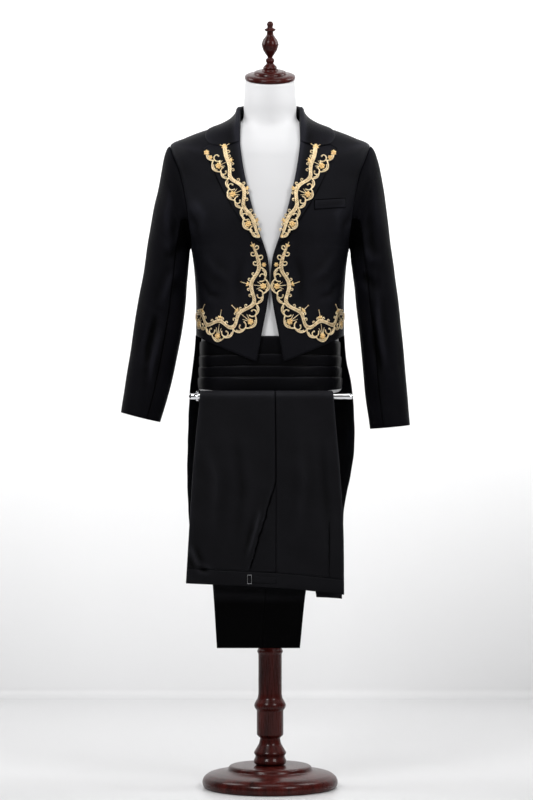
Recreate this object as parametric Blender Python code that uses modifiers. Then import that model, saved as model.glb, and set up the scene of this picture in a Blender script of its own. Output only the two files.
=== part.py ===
"""An evening tail suit with peak lapels, on a limbless dress form.

The suit is a tailcoat with raised scroll applique, a pleated cummerbund, and trousers folded
over the form's trouser bar. Metres, +Z up. The front faces -Y and the wearer's left is +X.
The origin is the centre of the base, on the floor.
"""

import math
from collections import namedtuple

import bmesh
import bpy
from mathutils import Vector
from mathutils.geometry import delaunay_2d_cdt

# ---------------------------------------------------------------- cloth and seams
CLOTH = 0.0015  # the coat's cloth with its canvas
TROUSER_CLOTH = 0.0012
SEAM = 0.0004  # the gap between two pieces that meet at a seam
REST = 0.0004  # the gap between a piece and what it rests on

# ---------------------------------------------------------------- the coat's body
# A ring of the coat at each level. Below the armpit a ring is flat. Above it the ring's sides
# climb to the shoulder tip, and then the rings close in along the shoulder towards the neck.
Ring = namedtuple("Ring", "level side_z back_z half_width front_y back_y side_y squareness")
COAT_RINGS = (
    Ring(0.940, 0.940, 0.940, 0.1665, -0.1185, 0.107, 0.000, 2.30),
    Ring(1.020, 1.020, 1.020, 0.1665, -0.1190, 0.104, 0.000, 2.30),
    Ring(1.120, 1.120, 1.120, 0.1675, -0.1195, 0.100, 0.000, 2.30),
    Ring(1.212, 1.212, 1.212, 0.1775, -0.1240, 0.112, 0.000, 2.25),
    Ring(1.260, 1.262, 1.264, 0.1965, -0.1250, 0.118, 0.000, 2.20),
    Ring(1.306, 1.318, 1.320, 0.2080, -0.1225, 0.121, 0.000, 2.20),
    Ring(1.350, 1.378, 1.376, 0.2170, -0.1150, 0.117, 0.002, 2.15),
    Ring(1.400, 1.443, 1.440, 0.2245, -0.1030, 0.104, 0.004, 2.10),
    Ring(1.425, 1.4615, 1.462, 0.1900, -0.0960, 0.094, 0.005, 2.10),
    Ring(1.447, 1.477, 1.482, 0.1500, -0.0880, 0.086, 0.006, 2.10),
    Ring(1.472, 1.489, 1.503, 0.1100, -0.0830, 0.080, 0.008, 2.05),
    Ring(1.490, 1.502, 1.517, 0.0860, -0.0770, 0.076, 0.009, 2.00),
    Ring(1.505, 1.517, 1.532, 0.0730, -0.0690, 0.074, 0.010, 2.00),
    Ring(1.518, 1.532, 1.548, 0.0675, -0.0560, 0.072, 0.010, 2.00),
)
ARMPIT_LEVEL, TIP_LEVEL = 1.212, 1.400
NECKLINE_LEVEL = 1.500
COLLAR_TOP_LEVEL = 1.517
ARMHOLE_REACH = math.radians(27)  # how far the armhole cuts into the front and the back
ARMHOLE_STEPS = 8  # grid rows from the armpit to the shoulder tip

# The front edge, and above the break the roll line that the lapel folds along.
Edge = namedtuple("Edge", "z x")
FRONT_EDGE = (
    Edge(0.940, 0.0335), Edge(0.958, 0.0300), Edge(1.025, 0.0175), Edge(1.080, 0.0070),
    Edge(1.130, 0.0014), Edge(1.183, 0.0045), Edge(1.215, 0.0135), Edge(1.240, 0.0220),
    Edge(1.302, 0.0395), Edge(1.382, 0.0575), Edge(1.447, 0.0660), Edge(1.520, 0.0675),
)
Low = namedtuple("Low", "x z")
HEM = (
    Low(0.000, 0.956), Low(0.030, 0.958), Low(0.066, 0.972), Low(0.105, 0.988), Low(0.140, 1.003),
    Low(0.168, 1.018),
)
WAIST_SEAM_SIDE, WAIST_SEAM_BACK = 1.018, 1.004

# ---------------------------------------------------------------- lapel and collar
LAPEL_EDGE = (
    Edge(1.216, 0.0150), Edge(1.232, 0.0380), Edge(1.288, 0.0760), Edge(1.340, 0.1060),
    Edge(1.390, 0.1285), Edge(1.431, 0.1475),
)
BREAK_Z = 1.222
GORGE = (Edge(1.4440, 0.0665), Edge(1.4345, 0.1080), Edge(1.4395, 0.1330), Edge(1.4310, 0.1475))
COLLAR_CORNER = Edge(1.4390, 0.1320)
COLLAR_EDGE_LEVEL = 1.472
LAPEL_CLEAR = 0.0009  # the lapel's inner face above the front
ROLL_HEIGHT = 0.0030  # how much higher the cloth stands where it rolls over
ROLL_REACH = 0.014
COLLAR_CLEAR = 0.0010
COLLAR_LIFT = 0.0018  # the middle of the collar's fall above the coat
ROLL_TUCK = 0.0036  # the front's edge lies this far inside the roll
STAND_DEPTH = 0.020
WELT_X, WELT_Z, WELT_RISE = (0.0975, 0.1660), (1.2945, 1.3150), 0.0060
WELT_CLOTH = 0.0016

# ---------------------------------------------------------------- tails
# outer_x is the tail's outer edge; angle is where that edge lies around the body.
Tail = namedtuple("Tail", "z left_x right_x back_y angle inner_left inner_right")
TAIL_ROWS = (
    Tail(1.030, 0.1665, 0.1665, 0.104, 90.6, 0.0003, 0.0003),
    Tail(0.967, 0.1715, 0.1715, 0.111, 91.5, 0.0003, 0.0003),
    Tail(0.900, 0.1845, 0.1800, 0.122, 93.0, 0.0040, 0.0040),
    Tail(0.830, 0.1905, 0.1850, 0.130, 95.0, 0.0140, 0.0120),
    Tail(0.760, 0.1900, 0.1870, 0.130, 98.0, 0.0290, 0.0240),
    Tail(0.700, 0.1820, 0.1875, 0.126, 101.0, 0.0440, 0.0370),
    Tail(0.620, 0.1675, 0.1850, 0.118, 105.0, 0.0660, 0.0560),
    Tail(0.520, 0.1640, 0.1790, 0.110, 109.0, 0.0900, 0.0800),
    Tail(0.418, 0.1630, 0.1740, 0.104, 112.0, 0.1070, 0.1000),
)
TAIL_END_LEFT, TAIL_END_RIGHT = 0.421, 0.482

# ---------------------------------------------------------------- sleeves
# Each row is a ring of the sleeve through an outer and an inner point, seen from the front.
SleeveRow = namedtuple("SleeveRow", "outer_x outer_z inner_x inner_z half_depth centre_y")
SLEEVE_LEFT = (
    SleeveRow(0.2335, 1.4370, 0.1796, 1.2085, 0.0530, 0.000),
    SleeveRow(0.2440, 1.4050, 0.1802, 1.2050, 0.0560, 0.000),
    SleeveRow(0.2530, 1.3600, 0.1808, 1.1990, 0.0580, -0.001),
    SleeveRow(0.2605, 1.3100, 0.1816, 1.1880, 0.0590, -0.002),
    SleeveRow(0.2700, 1.2325, 0.1840, 1.1680, 0.0585, -0.004),
    SleeveRow(0.2800, 1.1600, 0.1880, 1.1330, 0.0570, -0.007),
    SleeveRow(0.2895, 1.0850, 0.1940, 1.0700, 0.0545, -0.012),
    SleeveRow(0.2985, 0.9950, 0.2040, 0.9830, 0.0520, -0.020),
    SleeveRow(0.3065, 0.9000, 0.2125, 0.8900, 0.0495, -0.031),
    SleeveRow(0.3130, 0.8165, 0.2235, 0.8080, 0.0470, -0.042),
)
SLEEVE_RIGHT = (
    SleeveRow(0.2330, 1.4370, 0.1796, 1.2085, 0.0530, 0.000),
    SleeveRow(0.2415, 1.4010, 0.1802, 1.2050, 0.0560, 0.000),
    SleeveRow(0.2505, 1.3510, 0.1808, 1.1990, 0.0580, -0.001),
    SleeveRow(0.2610, 1.3060, 0.1816, 1.1880, 0.0590, -0.002),
    SleeveRow(0.2735, 1.2325, 0.1838, 1.1640, 0.0585, -0.004),
    SleeveRow(0.2850, 1.1500, 0.1870, 1.1250, 0.0570, -0.007),
    SleeveRow(0.2985, 1.0800, 0.1925, 1.0610, 0.0545, -0.012),
    SleeveRow(0.3120, 0.9900, 0.2085, 0.9680, 0.0520, -0.020),
    SleeveRow(0.3245, 0.9100, 0.2265, 0.8870, 0.0495, -0.031),
    SleeveRow(0.3335, 0.8450, 0.2455, 0.8230, 0.0470, -0.042),
)
FRONT_SEAM_STEP, BACK_SEAM_STEP = 5, 11  # of sixteen steps around the sleeve, from its top
SLEEVE_HOLE_GAP = 0.0006
SLEEVE_SEAM_TURN = 0.006  # half the gap at a sleeve's seam, as a turn around it

# ---------------------------------------------------------------- dress form
FORM_RINGS = (
    Ring(0.800, 0.800, 0.800, 0.1450, -0.0950, 0.090, 0.000, 2.30),
    Ring(0.825, 0.825, 0.825, 0.1555, -0.1020, 0.097, 0.000, 2.30),
    Ring(0.881, 0.881, 0.881, 0.1600, -0.1060, 0.100, 0.000, 2.30),
    Ring(0.950, 0.950, 0.950, 0.1575, -0.1060, 0.099, 0.000, 2.30),
    Ring(1.020, 1.020, 1.020, 0.1540, -0.1065, 0.096, 0.000, 2.30),
    Ring(1.100, 1.100, 1.100, 0.1560, -0.1085, 0.094, 0.000, 2.30),
    Ring(1.200, 1.200, 1.200, 0.1670, -0.1150, 0.104, 0.000, 2.25),
    Ring(1.280, 1.284, 1.284, 0.1740, -0.1160, 0.112, 0.000, 2.20),
    Ring(1.340, 1.350, 1.358, 0.1810, -0.1090, 0.109, 0.002, 2.15),
    Ring(1.385, 1.405, 1.410, 0.1880, -0.1000, 0.102, 0.004, 2.10),
    Ring(1.408, 1.438, 1.440, 0.1900, -0.0940, 0.096, 0.005, 2.10),
    Ring(1.4235, 1.4585, 1.459, 0.1840, -0.0900, 0.090, 0.005, 2.10),
    Ring(1.447, 1.4745, 1.4795, 0.1490, -0.0800, 0.083, 0.006, 2.10),
    Ring(1.4705, 1.4862, 1.4985, 0.1080, -0.0670, 0.075, 0.008, 2.05),
    Ring(1.4860, 1.4930, 1.508, 0.0740, -0.0600, 0.068, 0.006, 2.00),
    Ring(1.5030, 1.5045, 1.516, 0.0605, -0.0585, 0.0625, 0.001, 2.00),
    Ring(1.5350, 1.5350, 1.5350, 0.0592, -0.0592, 0.0592, 0.000, 2.00),
    Ring(1.5700, 1.5700, 1.5700, 0.0570, -0.0570, 0.0570, 0.000, 2.00),
    Ring(1.5920, 1.5920, 1.5920, 0.0555, -0.0555, 0.0555, 0.000, 2.00),
)
FORM_COLUMNS = 24
NECK_TOP_Z = 1.592
HEAD_TILT = math.radians(17)  # the neck's top and its cap lean towards the front

BASE_RADIUS, BASE_HEIGHT, BASE_DISC_RADIUS = 0.153, 0.050, 0.0935
POLE_RADIUS = 0.0264
TURNED_STEPS = 14

# ---------------------------------------------------------------- trouser bar
BAR_RADIUS = 0.0065
BAR_Y, BAR_Z = -0.130, 0.881
BAR_RIGHT_END, BAR_ARM_X = 0.187, -0.1735
BAR_BEND = 0.016
FLANGE_RADIUS = 0.014

# ---------------------------------------------------------------- cummerbund
PLEAT_CENTRES = (1.015, 0.975, 0.949, 0.9245, 0.8925)  # top edge, pleat lines, bottom edge
PLEAT_SIDES = (1.003, 0.970, 0.946, 0.9235, 0.8975)
PLEAT_STEP = 0.0018
SASH_CLOTH = 0.0012
SASH_REST = 0.0010
SASH_END = math.radians(100)
STRAP_Z = (0.925, 0.968)

# ---------------------------------------------------------------- trousers
# along is measured over the bar: negative towards the waist in front, positive to the hems behind.
TrouserRow = namedtuple("TrouserRow", "along front_x seam_x back_x")
TROUSER_ROWS = (
    TrouserRow(-0.445, -0.1865, 0.0130, 0.1630),
    TrouserRow(-0.309, -0.1786, 0.0130, 0.1615),
    TrouserRow(-0.181, -0.1705, 0.0130, 0.1540),
    TrouserRow(-0.090, -0.1625, 0.0125, 0.1460),
    TrouserRow(0.000, -0.1540, 0.0110, 0.1385),
    TrouserRow(0.200, -0.1450, 0.0040, 0.1180),
    TrouserRow(0.4426, -0.1260, -0.0100, 0.0795),
    TrouserRow(0.5716, -0.1177, -0.0180, 0.0660),
)
WAIST_END = (
    Low(-0.190, 0.4700), Low(0.013, 0.4600), Low(0.106, 0.4515), Low(0.170, 0.4440),
)
STACK = 0.0060  # the thickness of all the layers over the bar
WAISTBAND = 0.032
POCKET_SEAM_Z, POCKET_WAIST_Z, POCKET_WAIST_X = 0.695, 0.494, -0.0463
CROTCH_Z = 0.694
FLY_WIDTH, FLY_LENGTH = 0.042, 0.180
POCKET_UNDERLAP = 0.012
FLATS = (0.5, 1.0)  # a panel's columns, from its crease to its seam
FRONT_FALL_ROWS = (-0.35, -0.285, -0.215, -0.145, -0.075)
BACK_FALL_ROWS = (0.09, 0.18, 0.28, 0.38, 0.48)
BAND_EXTRA = 0.0006  # how much thicker the waistband is than the panels
TAB_X, TAB_WIDTH = (-0.039, 0.013), 0.014
HOOK_WIRE = 0.0009
FALL_SWAY, FALL_WAVE = 0.004, 6.0  # the front fall leans forward, then back
Crease = namedtuple("Crease", "outer_in outer_drop inner_in inner_drop")
CREASE = (  # how a panel's edge curls round the layers, from its tip to the flat
    Crease(0.0000, 0.0028, 0.0012, 0.0028),
    Crease(0.0000, 0.0010, 0.0012, 0.0016),
    Crease(0.0010, 0.0000, 0.0018, 0.0012),
)

# ---------------------------------------------------------------- applique
STRAIGHT = math.radians(12)  # an outline that turns less than this is cut straight
LONGEST_CUT = 0.018  # and bends with the cloth at least this often
SCROLL_TURN = 1.45 * math.pi
SCROLL_STEPS = 6
VINE_OUT, VINE_IN = 0.10, -0.85  # the vine at a joint between bays, and at its crest
LOBE_ENDS = (0.0, 0.30, 0.70, 1.0)  # the three lobes of a bay's border, as shares of the bay
LOBE_ACROSS = 0.60  # how far out two lobes of a bay meet
LOBE_BULGES = (0.30, 0.38, 0.30)
ROSETTE_ACROSS = 0.55
SCROLL_PLACE, SCROLL_FOOT = (0.25, 0.28), (0.12, 0.12)  # share of the bay from its middle, and across
TIP_PLACE, BUD_PLACE = (0.05, -1.95), (0.02, -1.30)
CORD_WIDTH, VINE_WIDTH, SPIKE_WIDTH = 0.0034, 0.0064, 0.0026
APPLIQUE = 0.0014
APPLIQUE_GAP = 0.0007
ROSETTE_RADIUS, BUD_RADIUS = 0.0068, 0.0040
Band = namedtuple("Band", "x z outer inner")
FRONT_BAND = (  # the middle of the band on the unrolled front, and its reach to each side
    Band(0.0370, 1.2120, 0.0050, 0.0050),
    Band(0.0290, 1.1900, 0.0100, 0.0090),
    Band(0.0245, 1.1660, 0.0165, 0.0150),
    Band(0.0245, 1.1400, 0.0205, 0.0200),
    Band(0.0290, 1.1080, 0.0200, 0.0190),
    Band(0.0375, 1.0820, 0.0220, 0.0190),
    Band(0.0560, 1.0520, 0.0250, 0.0230),
    Band(0.0830, 1.0330, 0.0265, 0.0230),
    Band(0.1130, 1.0290, 0.0280, 0.0240),
    Band(0.1450, 1.0370, 0.0220, 0.0210),
    Band(0.1760, 1.0500, 0.0200, 0.0190),
    Band(0.2050, 1.0660, 0.0150, 0.0150),
)
LAPEL_BAND = (
    Band(0.0230, 1.2330, 0.0055, 0.0035),
    Band(0.0400, 1.2600, 0.0110, 0.0080),
    Band(0.0590, 1.3010, 0.0170, 0.0150),
    Band(0.0750, 1.3380, 0.0205, 0.0200),
    Band(0.0920, 1.3720, 0.0190, 0.0180),
    Band(0.1080, 1.4030, 0.0185, 0.0160),
    Band(0.1160, 1.4285, 0.0240, 0.0190),
)
Bay = namedtuple("Bay", "start end last_across opens bud")  # places are shares of the band's length
FRONT_BAYS = (
    Bay(0.145, 0.385, 0.15, False, True), Bay(0.385, 0.610, 0.15, False, True),
    Bay(0.610, 0.820, 0.15, False, True), Bay(0.820, 1.000, 0.15, False, True),
)
LAPEL_BAYS = (
    Bay(0.000, 0.340, 0.15, False, False), Bay(0.340, 0.675, 0.15, False, False),
    Bay(0.675, 1.000, 1.00, True, False),
)

Material = namedtuple("Material", "colour roughness metallic")
WOOL = Material((0.010, 0.010, 0.013), 0.75, 0.0)
SATIN = Material((0.012, 0.012, 0.016), 0.45, 0.0)
GOLD = Material((0.60, 0.40, 0.13), 0.35, 0.9)
JERSEY = Material((0.86, 0.86, 0.86), 0.85, 0.0)
WOOD = Material((0.060, 0.010, 0.008), 0.22, 0.0)
CHROME = Material((0.80, 0.81, 0.83), 0.12, 1.0)


# ================================================================ shapes along tables
def along(rows, key, column, reverse=False):
    """A smooth curve through one column of a table, read at a key in its first column."""
    rows = rows[::-1] if reverse else rows
    keys = [row[0] for row in rows]
    values = [getattr(row, column) for row in rows]
    key = min(max(key, keys[0]), keys[-1])
    last = len(keys) - 2
    i = next((n for n in range(last) if key <= keys[n + 1]), last)

    def slope(n):
        low, high = max(n - 1, 0), min(n + 1, len(keys) - 1)
        return (values[high] - values[low]) / (keys[high] - keys[low])

    span = keys[i + 1] - keys[i]
    t = (key - keys[i]) / span
    start, end = slope(i) * span, slope(i + 1) * span
    rise = values[i + 1] - values[i]
    return values[i] + t * start + t * t * (3 * rise - 2 * start - end) + t**3 * (start + end - 2 * rise)


def mix(a, b, share):
    return a + (b - a) * share


def ring_at(rows, level):
    return Ring(level, *(along(rows, level, name) for name in Ring._fields[1:]))


def ring_point(ring, angle, side=1):
    """The place at an angle around a ring: 0 is the front, 90 degrees the side, 180 the back."""
    sine, cosine = math.sin(angle), math.cos(angle)
    power = 2 / ring.squareness
    climb = sine * sine
    if cosine > 0:
        depth, middle_z = ring.front_y - ring.side_y, ring.level
    else:
        depth, middle_z = ring.back_y - ring.side_y, ring.back_z
    x = side * math.copysign(abs(sine) ** power, sine) * ring.half_width
    y = ring.side_y + depth * abs(cosine) ** power
    return Vector((x, y, mix(middle_z, ring.side_z, climb)))


def ring_angle(ring, x):
    """The angle in front of the side at which a ring has this x."""
    share = min(max(x / ring.half_width, 0.0), 1.0)
    return math.asin(share ** (ring.squareness / 2))


def surface(rows, angle, level, side=1, height=0.0):
    """A place on the surface through the rings, moved out from it by a height."""
    here = ring_point(ring_at(rows, level), angle, side)
    if height == 0.0:
        return here
    step = 0.02
    around = ring_point(ring_at(rows, level), angle + step, side)
    around -= ring_point(ring_at(rows, level), angle - step, side)
    low, high = max(level - 0.002, rows[0].level), min(level + 0.002, rows[-1].level)
    up = ring_point(ring_at(rows, high), angle, side) - ring_point(ring_at(rows, low), angle, side)
    normal = around.cross(up).normalized() * side
    return here + normal * height


def coat(angle, level, side=1, height=0.0):
    return surface(COAT_RINGS, angle, level, side, height)


def coat_front(x, z):
    """The angle and level of the front's place that has this x and z, seen from the front."""
    level = z
    for _ in range(14):
        ring = ring_at(COAT_RINGS, level)
        angle = ring_angle(ring, x)
        level += (z - ring_point(ring, angle).z) * 0.8
    return angle, level


def side_angle(ring, gap):
    """How far past the side an angle must be for this gap from the side seam."""
    depth = ring.side_y - ring.front_y
    return math.asin(min((gap / depth) ** (ring.squareness / 2), 1.0))


# ================================================================ Blender helpers
def new_collection(name):
    collection = bpy.data.collections.new(name)
    bpy.context.scene.collection.children.link(collection)
    return collection


def material_of(look, name):
    if name in bpy.data.materials:
        return bpy.data.materials[name]
    material = bpy.data.materials.new(name)
    material.use_nodes = True
    shader = material.node_tree.nodes["Principled BSDF"]
    shader.inputs["Base Color"].default_value = (*look.colour, 1)
    shader.inputs["Roughness"].default_value = look.roughness
    shader.inputs["Metallic"].default_value = look.metallic
    return material


def add_mesh(name, bm, look):
    """One closed body, as an object of its own with a material of its own."""
    mesh = bpy.data.meshes.new(name)
    bmesh.ops.recalc_face_normals(bm, faces=bm.faces)
    if bm.calc_volume(signed=True) < 0:
        bmesh.ops.reverse_faces(bm, faces=bm.faces)
    bm.to_mesh(mesh)
    bm.free()
    mesh.shade_smooth()
    mesh.set_sharp_from_angle(angle=math.radians(40))
    mesh.materials.append(material_of(look, name))
    piece = bpy.data.objects.new(name, mesh)
    SUIT.objects.link(piece)
    return piece


def wall(name, place, across, up, look):
    """A closed wall of cloth from a grid: place(u, v, depth) puts each point, depth 0 outside, 1 in.

    across and up hold the grid's parameters, or their numbers of even steps.
    """
    across = [n / across for n in range(across + 1)] if isinstance(across, int) else across
    up = [n / up for n in range(up + 1)] if isinstance(up, int) else up
    bm = bmesh.new()
    bmesh.ops.create_grid(bm, x_segments=len(across) - 1, y_segments=len(up) - 1, size=1)
    grown = bmesh.ops.extrude_face_region(bm, geom=bm.faces[:], use_keep_orig=True)
    inner = [item for item in grown["geom"] if isinstance(item, bmesh.types.BMVert)]
    bmesh.ops.translate(bm, verts=inner, vec=(0, 0, 1))
    for vertex in bm.verts:
        column = round((vertex.co.x + 1) / 2 * (len(across) - 1))
        row = round((vertex.co.y + 1) / 2 * (len(up) - 1))
        vertex.co = place(across[column], up[row], round(vertex.co.z))
    return add_mesh(name, bm, look)


def turned(name, profile, look, steps=TURNED_STEPS):
    """A turned solid: its profile runs down its outer side from the axis to the axis."""
    bm = bmesh.new()
    points = [bm.verts.new((radius, 0, z)) for radius, z in profile]
    for first, second in zip(points, points[1:]):
        bm.edges.new((first, second))
    mesh = bpy.data.meshes.new(name)
    bm.to_mesh(mesh)
    bm.free()
    mesh.materials.append(material_of(look, name))
    piece = bpy.data.objects.new(name, mesh)
    SUIT.objects.link(piece)
    screw = piece.modifiers.new("Turn", "SCREW")
    screw.steps = screw.render_steps = steps
    screw.use_merge_vertices = True
    screw.merge_threshold = 0.00005
    return piece


def tube(name, points, radius, look, cyclic=False):
    """A bent round bar along points."""
    curve = bpy.data.curves.new(name, "CURVE")
    curve.dimensions = "3D"
    curve.bevel_depth = radius
    curve.bevel_resolution = 3
    curve.use_fill_caps = True
    spline = curve.splines.new("POLY")
    spline.points.add(len(points) - 1)
    for point, place in zip(spline.points, points):
        point.co = (*place, 1)
    spline.use_cyclic_u = cyclic
    curve.materials.append(material_of(look, name))
    piece = bpy.data.objects.new(name, curve)
    SUIT.objects.link(piece)
    return piece


# ================================================================ the dress form
def make_form():
    bm = bmesh.new()
    levels = []
    for row, after in zip(FORM_RINGS, FORM_RINGS[1:]):
        cuts = 2 if after.level - row.level > 0.06 else 1
        levels += [mix(row.level, after.level, n / cuts) for n in range(cuts)]
    levels.append(NECK_TOP_Z)
    bmesh.ops.create_cone(bm, cap_ends=True, segments=FORM_COLUMNS, radius1=1, radius2=1, depth=1)
    bmesh.ops.bisect_plane(bm, geom=bm.verts[:] + bm.edges[:] + bm.faces[:], plane_co=(0, 0, 0),
                           plane_no=(0, 0, 1), clear_inner=False)
    sides = [edge for edge in bm.edges if abs(edge.verts[0].co.z - edge.verts[1].co.z) > 0.4]
    below = [edge for edge in sides if min(v.co.z for v in edge.verts) < -0.4]
    above = [edge for edge in sides if max(v.co.z for v in edge.verts) > 0.4]
    half = len(levels) // 2
    bmesh.ops.subdivide_edges(bm, edges=below, cuts=half - 1, use_grid_fill=False)
    bmesh.ops.subdivide_edges(bm, edges=above, cuts=len(levels) - 2 - half, use_grid_fill=False)
    heights = sorted({round(vertex.co.z, 4) for vertex in bm.verts})
    for vertex in bm.verts:
        level = levels[heights.index(round(vertex.co.z, 4))]
        angle = math.atan2(vertex.co.x, -vertex.co.y)
        place = ring_point(ring_at(FORM_RINGS, level), abs(angle), 1 if angle >= 0 else -1)
        tilt = max(0.0, (level - 1.55) / (NECK_TOP_Z - 1.55)) * math.tan(HEAD_TILT)
        vertex.co = place + Vector((0, 0, place.y * tilt))
    add_mesh("form_torso", bm, JERSEY)

    turned("form_base", (
        (0.0, BASE_HEIGHT), (0.0600, BASE_HEIGHT), (BASE_DISC_RADIUS - 0.004, BASE_HEIGHT - 0.0005),
        (BASE_DISC_RADIUS, 0.0455), (BASE_DISC_RADIUS + 0.002, 0.0385), (0.118, 0.0355),
        (0.139, 0.0310), (0.1495, 0.0230), (BASE_RADIUS, 0.0135), (0.1515, 0.0050), (0.1480, 0.0),
        (0.0, 0.0)), WOOD, 20)
    turned("form_pole", (
        (0.0, 0.7997), (POLE_RADIUS, 0.7997), (POLE_RADIUS, 0.3120), (0.0290, 0.3085),
        (0.0290, 0.3045), (POLE_RADIUS, 0.3010), (POLE_RADIUS, 0.2100), (0.0280, 0.2010),
        (0.0345, 0.1900), (0.0360, 0.1840), (0.0340, 0.1780), (0.0300, 0.1735), (0.0300, 0.1180),
        (0.0222, 0.1110), (0.0250, 0.0980), (0.0340, 0.0830), (0.0370, 0.0775), (0.0330, 0.0720),
        (0.0330, 0.0680), (0.0370, 0.0600), (0.0360, 0.0540), (0.0300, 0.0503), (0.0, 0.0503)),
        WOOD)
    cap = turned("neck_cap", (
        (0.0, 0.0250), (0.0150, 0.0250), (0.0180, 0.0235), (0.0185, 0.0200), (0.0290, 0.0195),
        (0.0360, 0.0175), (0.0375, 0.0130), (0.0480, 0.0120), (0.0555, 0.0095), (0.0575, 0.0055),
        (0.0565, 0.0010), (0.0550, 0.0), (0.0, 0.0)), WOOD, 16)
    finial = turned("finial", (
        (0.0, 0.1070), (0.0045, 0.1060), (0.0079, 0.1005), (0.0060, 0.0945), (0.0065, 0.0915),
        (0.0128, 0.0890), (0.0128, 0.0865), (0.0070, 0.0835), (0.0080, 0.0760), (0.0165, 0.0640),
        (0.0195, 0.0550), (0.0160, 0.0420), (0.0070, 0.0280), (0.0050, 0.0250), (0.0100, 0.0205),
        (0.0100, 0.0160), (0.0070, 0.0120), (0.0120, 0.0070), (0.0155, 0.0035), (0.0155, 0.0003),
        (0.0, 0.0003)), WOOD, 14)
    cap.location = (0, 0, NECK_TOP_Z + REST)
    cap.rotation_euler = (HEAD_TILT, 0, 0)
    finial.parent = cap
    finial.location = (0, 0, 0.0250)


def bend(corner, start, end, radius, steps=5):
    """Points of a round bend in a bar at a corner between two straight runs along the axes."""
    corner = Vector(corner)
    into, out = (Vector(start) - corner).normalized(), (Vector(end) - corner).normalized()
    middle = corner + (into + out) * radius
    turns = [math.pi / 2 * n / steps for n in range(steps + 1)]
    return [middle - out * radius * math.cos(a) - into * radius * math.sin(a) for a in turns]


def make_trouser_bar():
    right = Vector((BAR_RIGHT_END, BAR_Y, BAR_Z))
    points = [right] + bend((BAR_ARM_X, BAR_Y, BAR_Z), right, (BAR_ARM_X, 0, BAR_Z), BAR_BEND)
    points.append(Vector((BAR_ARM_X, BAR_RADIUS, BAR_Z)))
    tube("trouser_bar", points, BAR_RADIUS, CHROME)


def arm_seat():
    """The plate between the bar's arm and the side of the form."""
    side = ring_point(ring_at(FORM_RINGS, BAR_Z), math.pi / 2, -1)
    outer = BAR_ARM_X + BAR_RADIUS + REST
    inner = side.x - REST
    bm = bmesh.new()
    bmesh.ops.create_cone(bm, cap_ends=True, segments=20, radius1=FLANGE_RADIUS,
                          radius2=FLANGE_RADIUS, depth=1)
    for vertex in bm.verts:
        share = vertex.co.z + 0.5
        vertex.co = (mix(inner, outer, share), vertex.co.x, BAR_Z + vertex.co.y)
    add_mesh("bar_flange", bm, CHROME)


# ================================================================ the tailcoat
def front_grid():
    """The rows of a front or back: below the armpit, along the armhole and above the shoulder tip."""
    armpit_row, lower_rows, upper_rows = 0.5, 5, 7
    lower = [armpit_row * n / lower_rows for n in range(lower_rows)]
    middle = [armpit_row + 0.25 * n / ARMHOLE_STEPS for n in range(ARMHOLE_STEPS + 1)]
    upper = [0.75 + 0.25 * n / upper_rows for n in range(1, upper_rows + 1)]
    return lower + middle + upper


def row_level(v, hem):
    """The level of a row: even below the armpit, around the armhole, and up to the neckline."""
    if v < 0.5:
        return mix(hem, ARMPIT_LEVEL, v / 0.5)
    if v <= 0.75:
        return armhole_level(math.pi * (1 - (v - 0.5) / 0.25))
    return mix(TIP_LEVEL, NECKLINE_LEVEL, (v - 0.75) / 0.25)


def armhole_level(turn):
    """The level on the armhole, for a turn from the shoulder tip (0) down to the armpit (pi)."""
    middle, half = (ARMPIT_LEVEL + TIP_LEVEL) / 2, (TIP_LEVEL - ARMPIT_LEVEL) / 2
    return middle + half * math.cos(turn)


def armhole_angle(turn):
    """The angle of the armhole's edge, in front of the side for turns up to pi."""
    reach = ARMHOLE_REACH * math.copysign(abs(math.sin(turn)) ** 0.85, math.sin(turn))
    return math.pi / 2 - reach


def panel_side(v, level, back):
    """The angle of a panel's outer boundary: the side seam, the armhole or the shoulder seam."""
    ring = ring_at(COAT_RINGS, level)
    gap = side_angle(ring, SEAM / 2)
    if 0.5 < v < 0.75:
        turn = math.pi * (1 - (v - 0.5) / 0.25)
        cut = math.pi / 2 - armhole_angle(turn)
        return math.pi / 2 + cut if back else math.pi / 2 - cut
    return math.pi / 2 + gap if back else math.pi / 2 - gap


def make_front(name, side):
    def place(u, v, depth):
        hem = 0.99
        for _ in range(3):
            level = row_level(v, hem)
            ring = ring_at(COAT_RINGS, level)
            edge_z = level
            tuck = ROLL_TUCK * min(max((edge_z - BREAK_Z) / 0.02, 0.0), 1.0)
            edge = ring_angle(ring, along(FRONT_EDGE, edge_z, "x") + tuck)
            outer = panel_side(v, level, back=False)
            angle = mix(min(edge, outer - 0.02), outer, u)
            hem = along(HEM, ring_point(ring, angle).x, "z")
        return coat(angle, level, side, -CLOTH * depth)

    wall(name, place, 9, front_grid(), WOOL)


def make_back(name, side):
    def place(u, v, depth):
        hem = 1.01
        for _ in range(2):
            level = row_level(v, hem)
            ring = ring_at(COAT_RINGS, level)
            centre = math.pi - ring_angle(ring, SEAM / 2)
            angle = mix(panel_side(v, level, back=True), centre, u)
            hem = mix(WAIST_SEAM_BACK, WAIST_SEAM_SIDE, math.sin(angle) ** 2)
        return coat(angle, level, side, -CLOTH * depth)

    wall(name, place, 6, front_grid(), WOOL)


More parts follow.
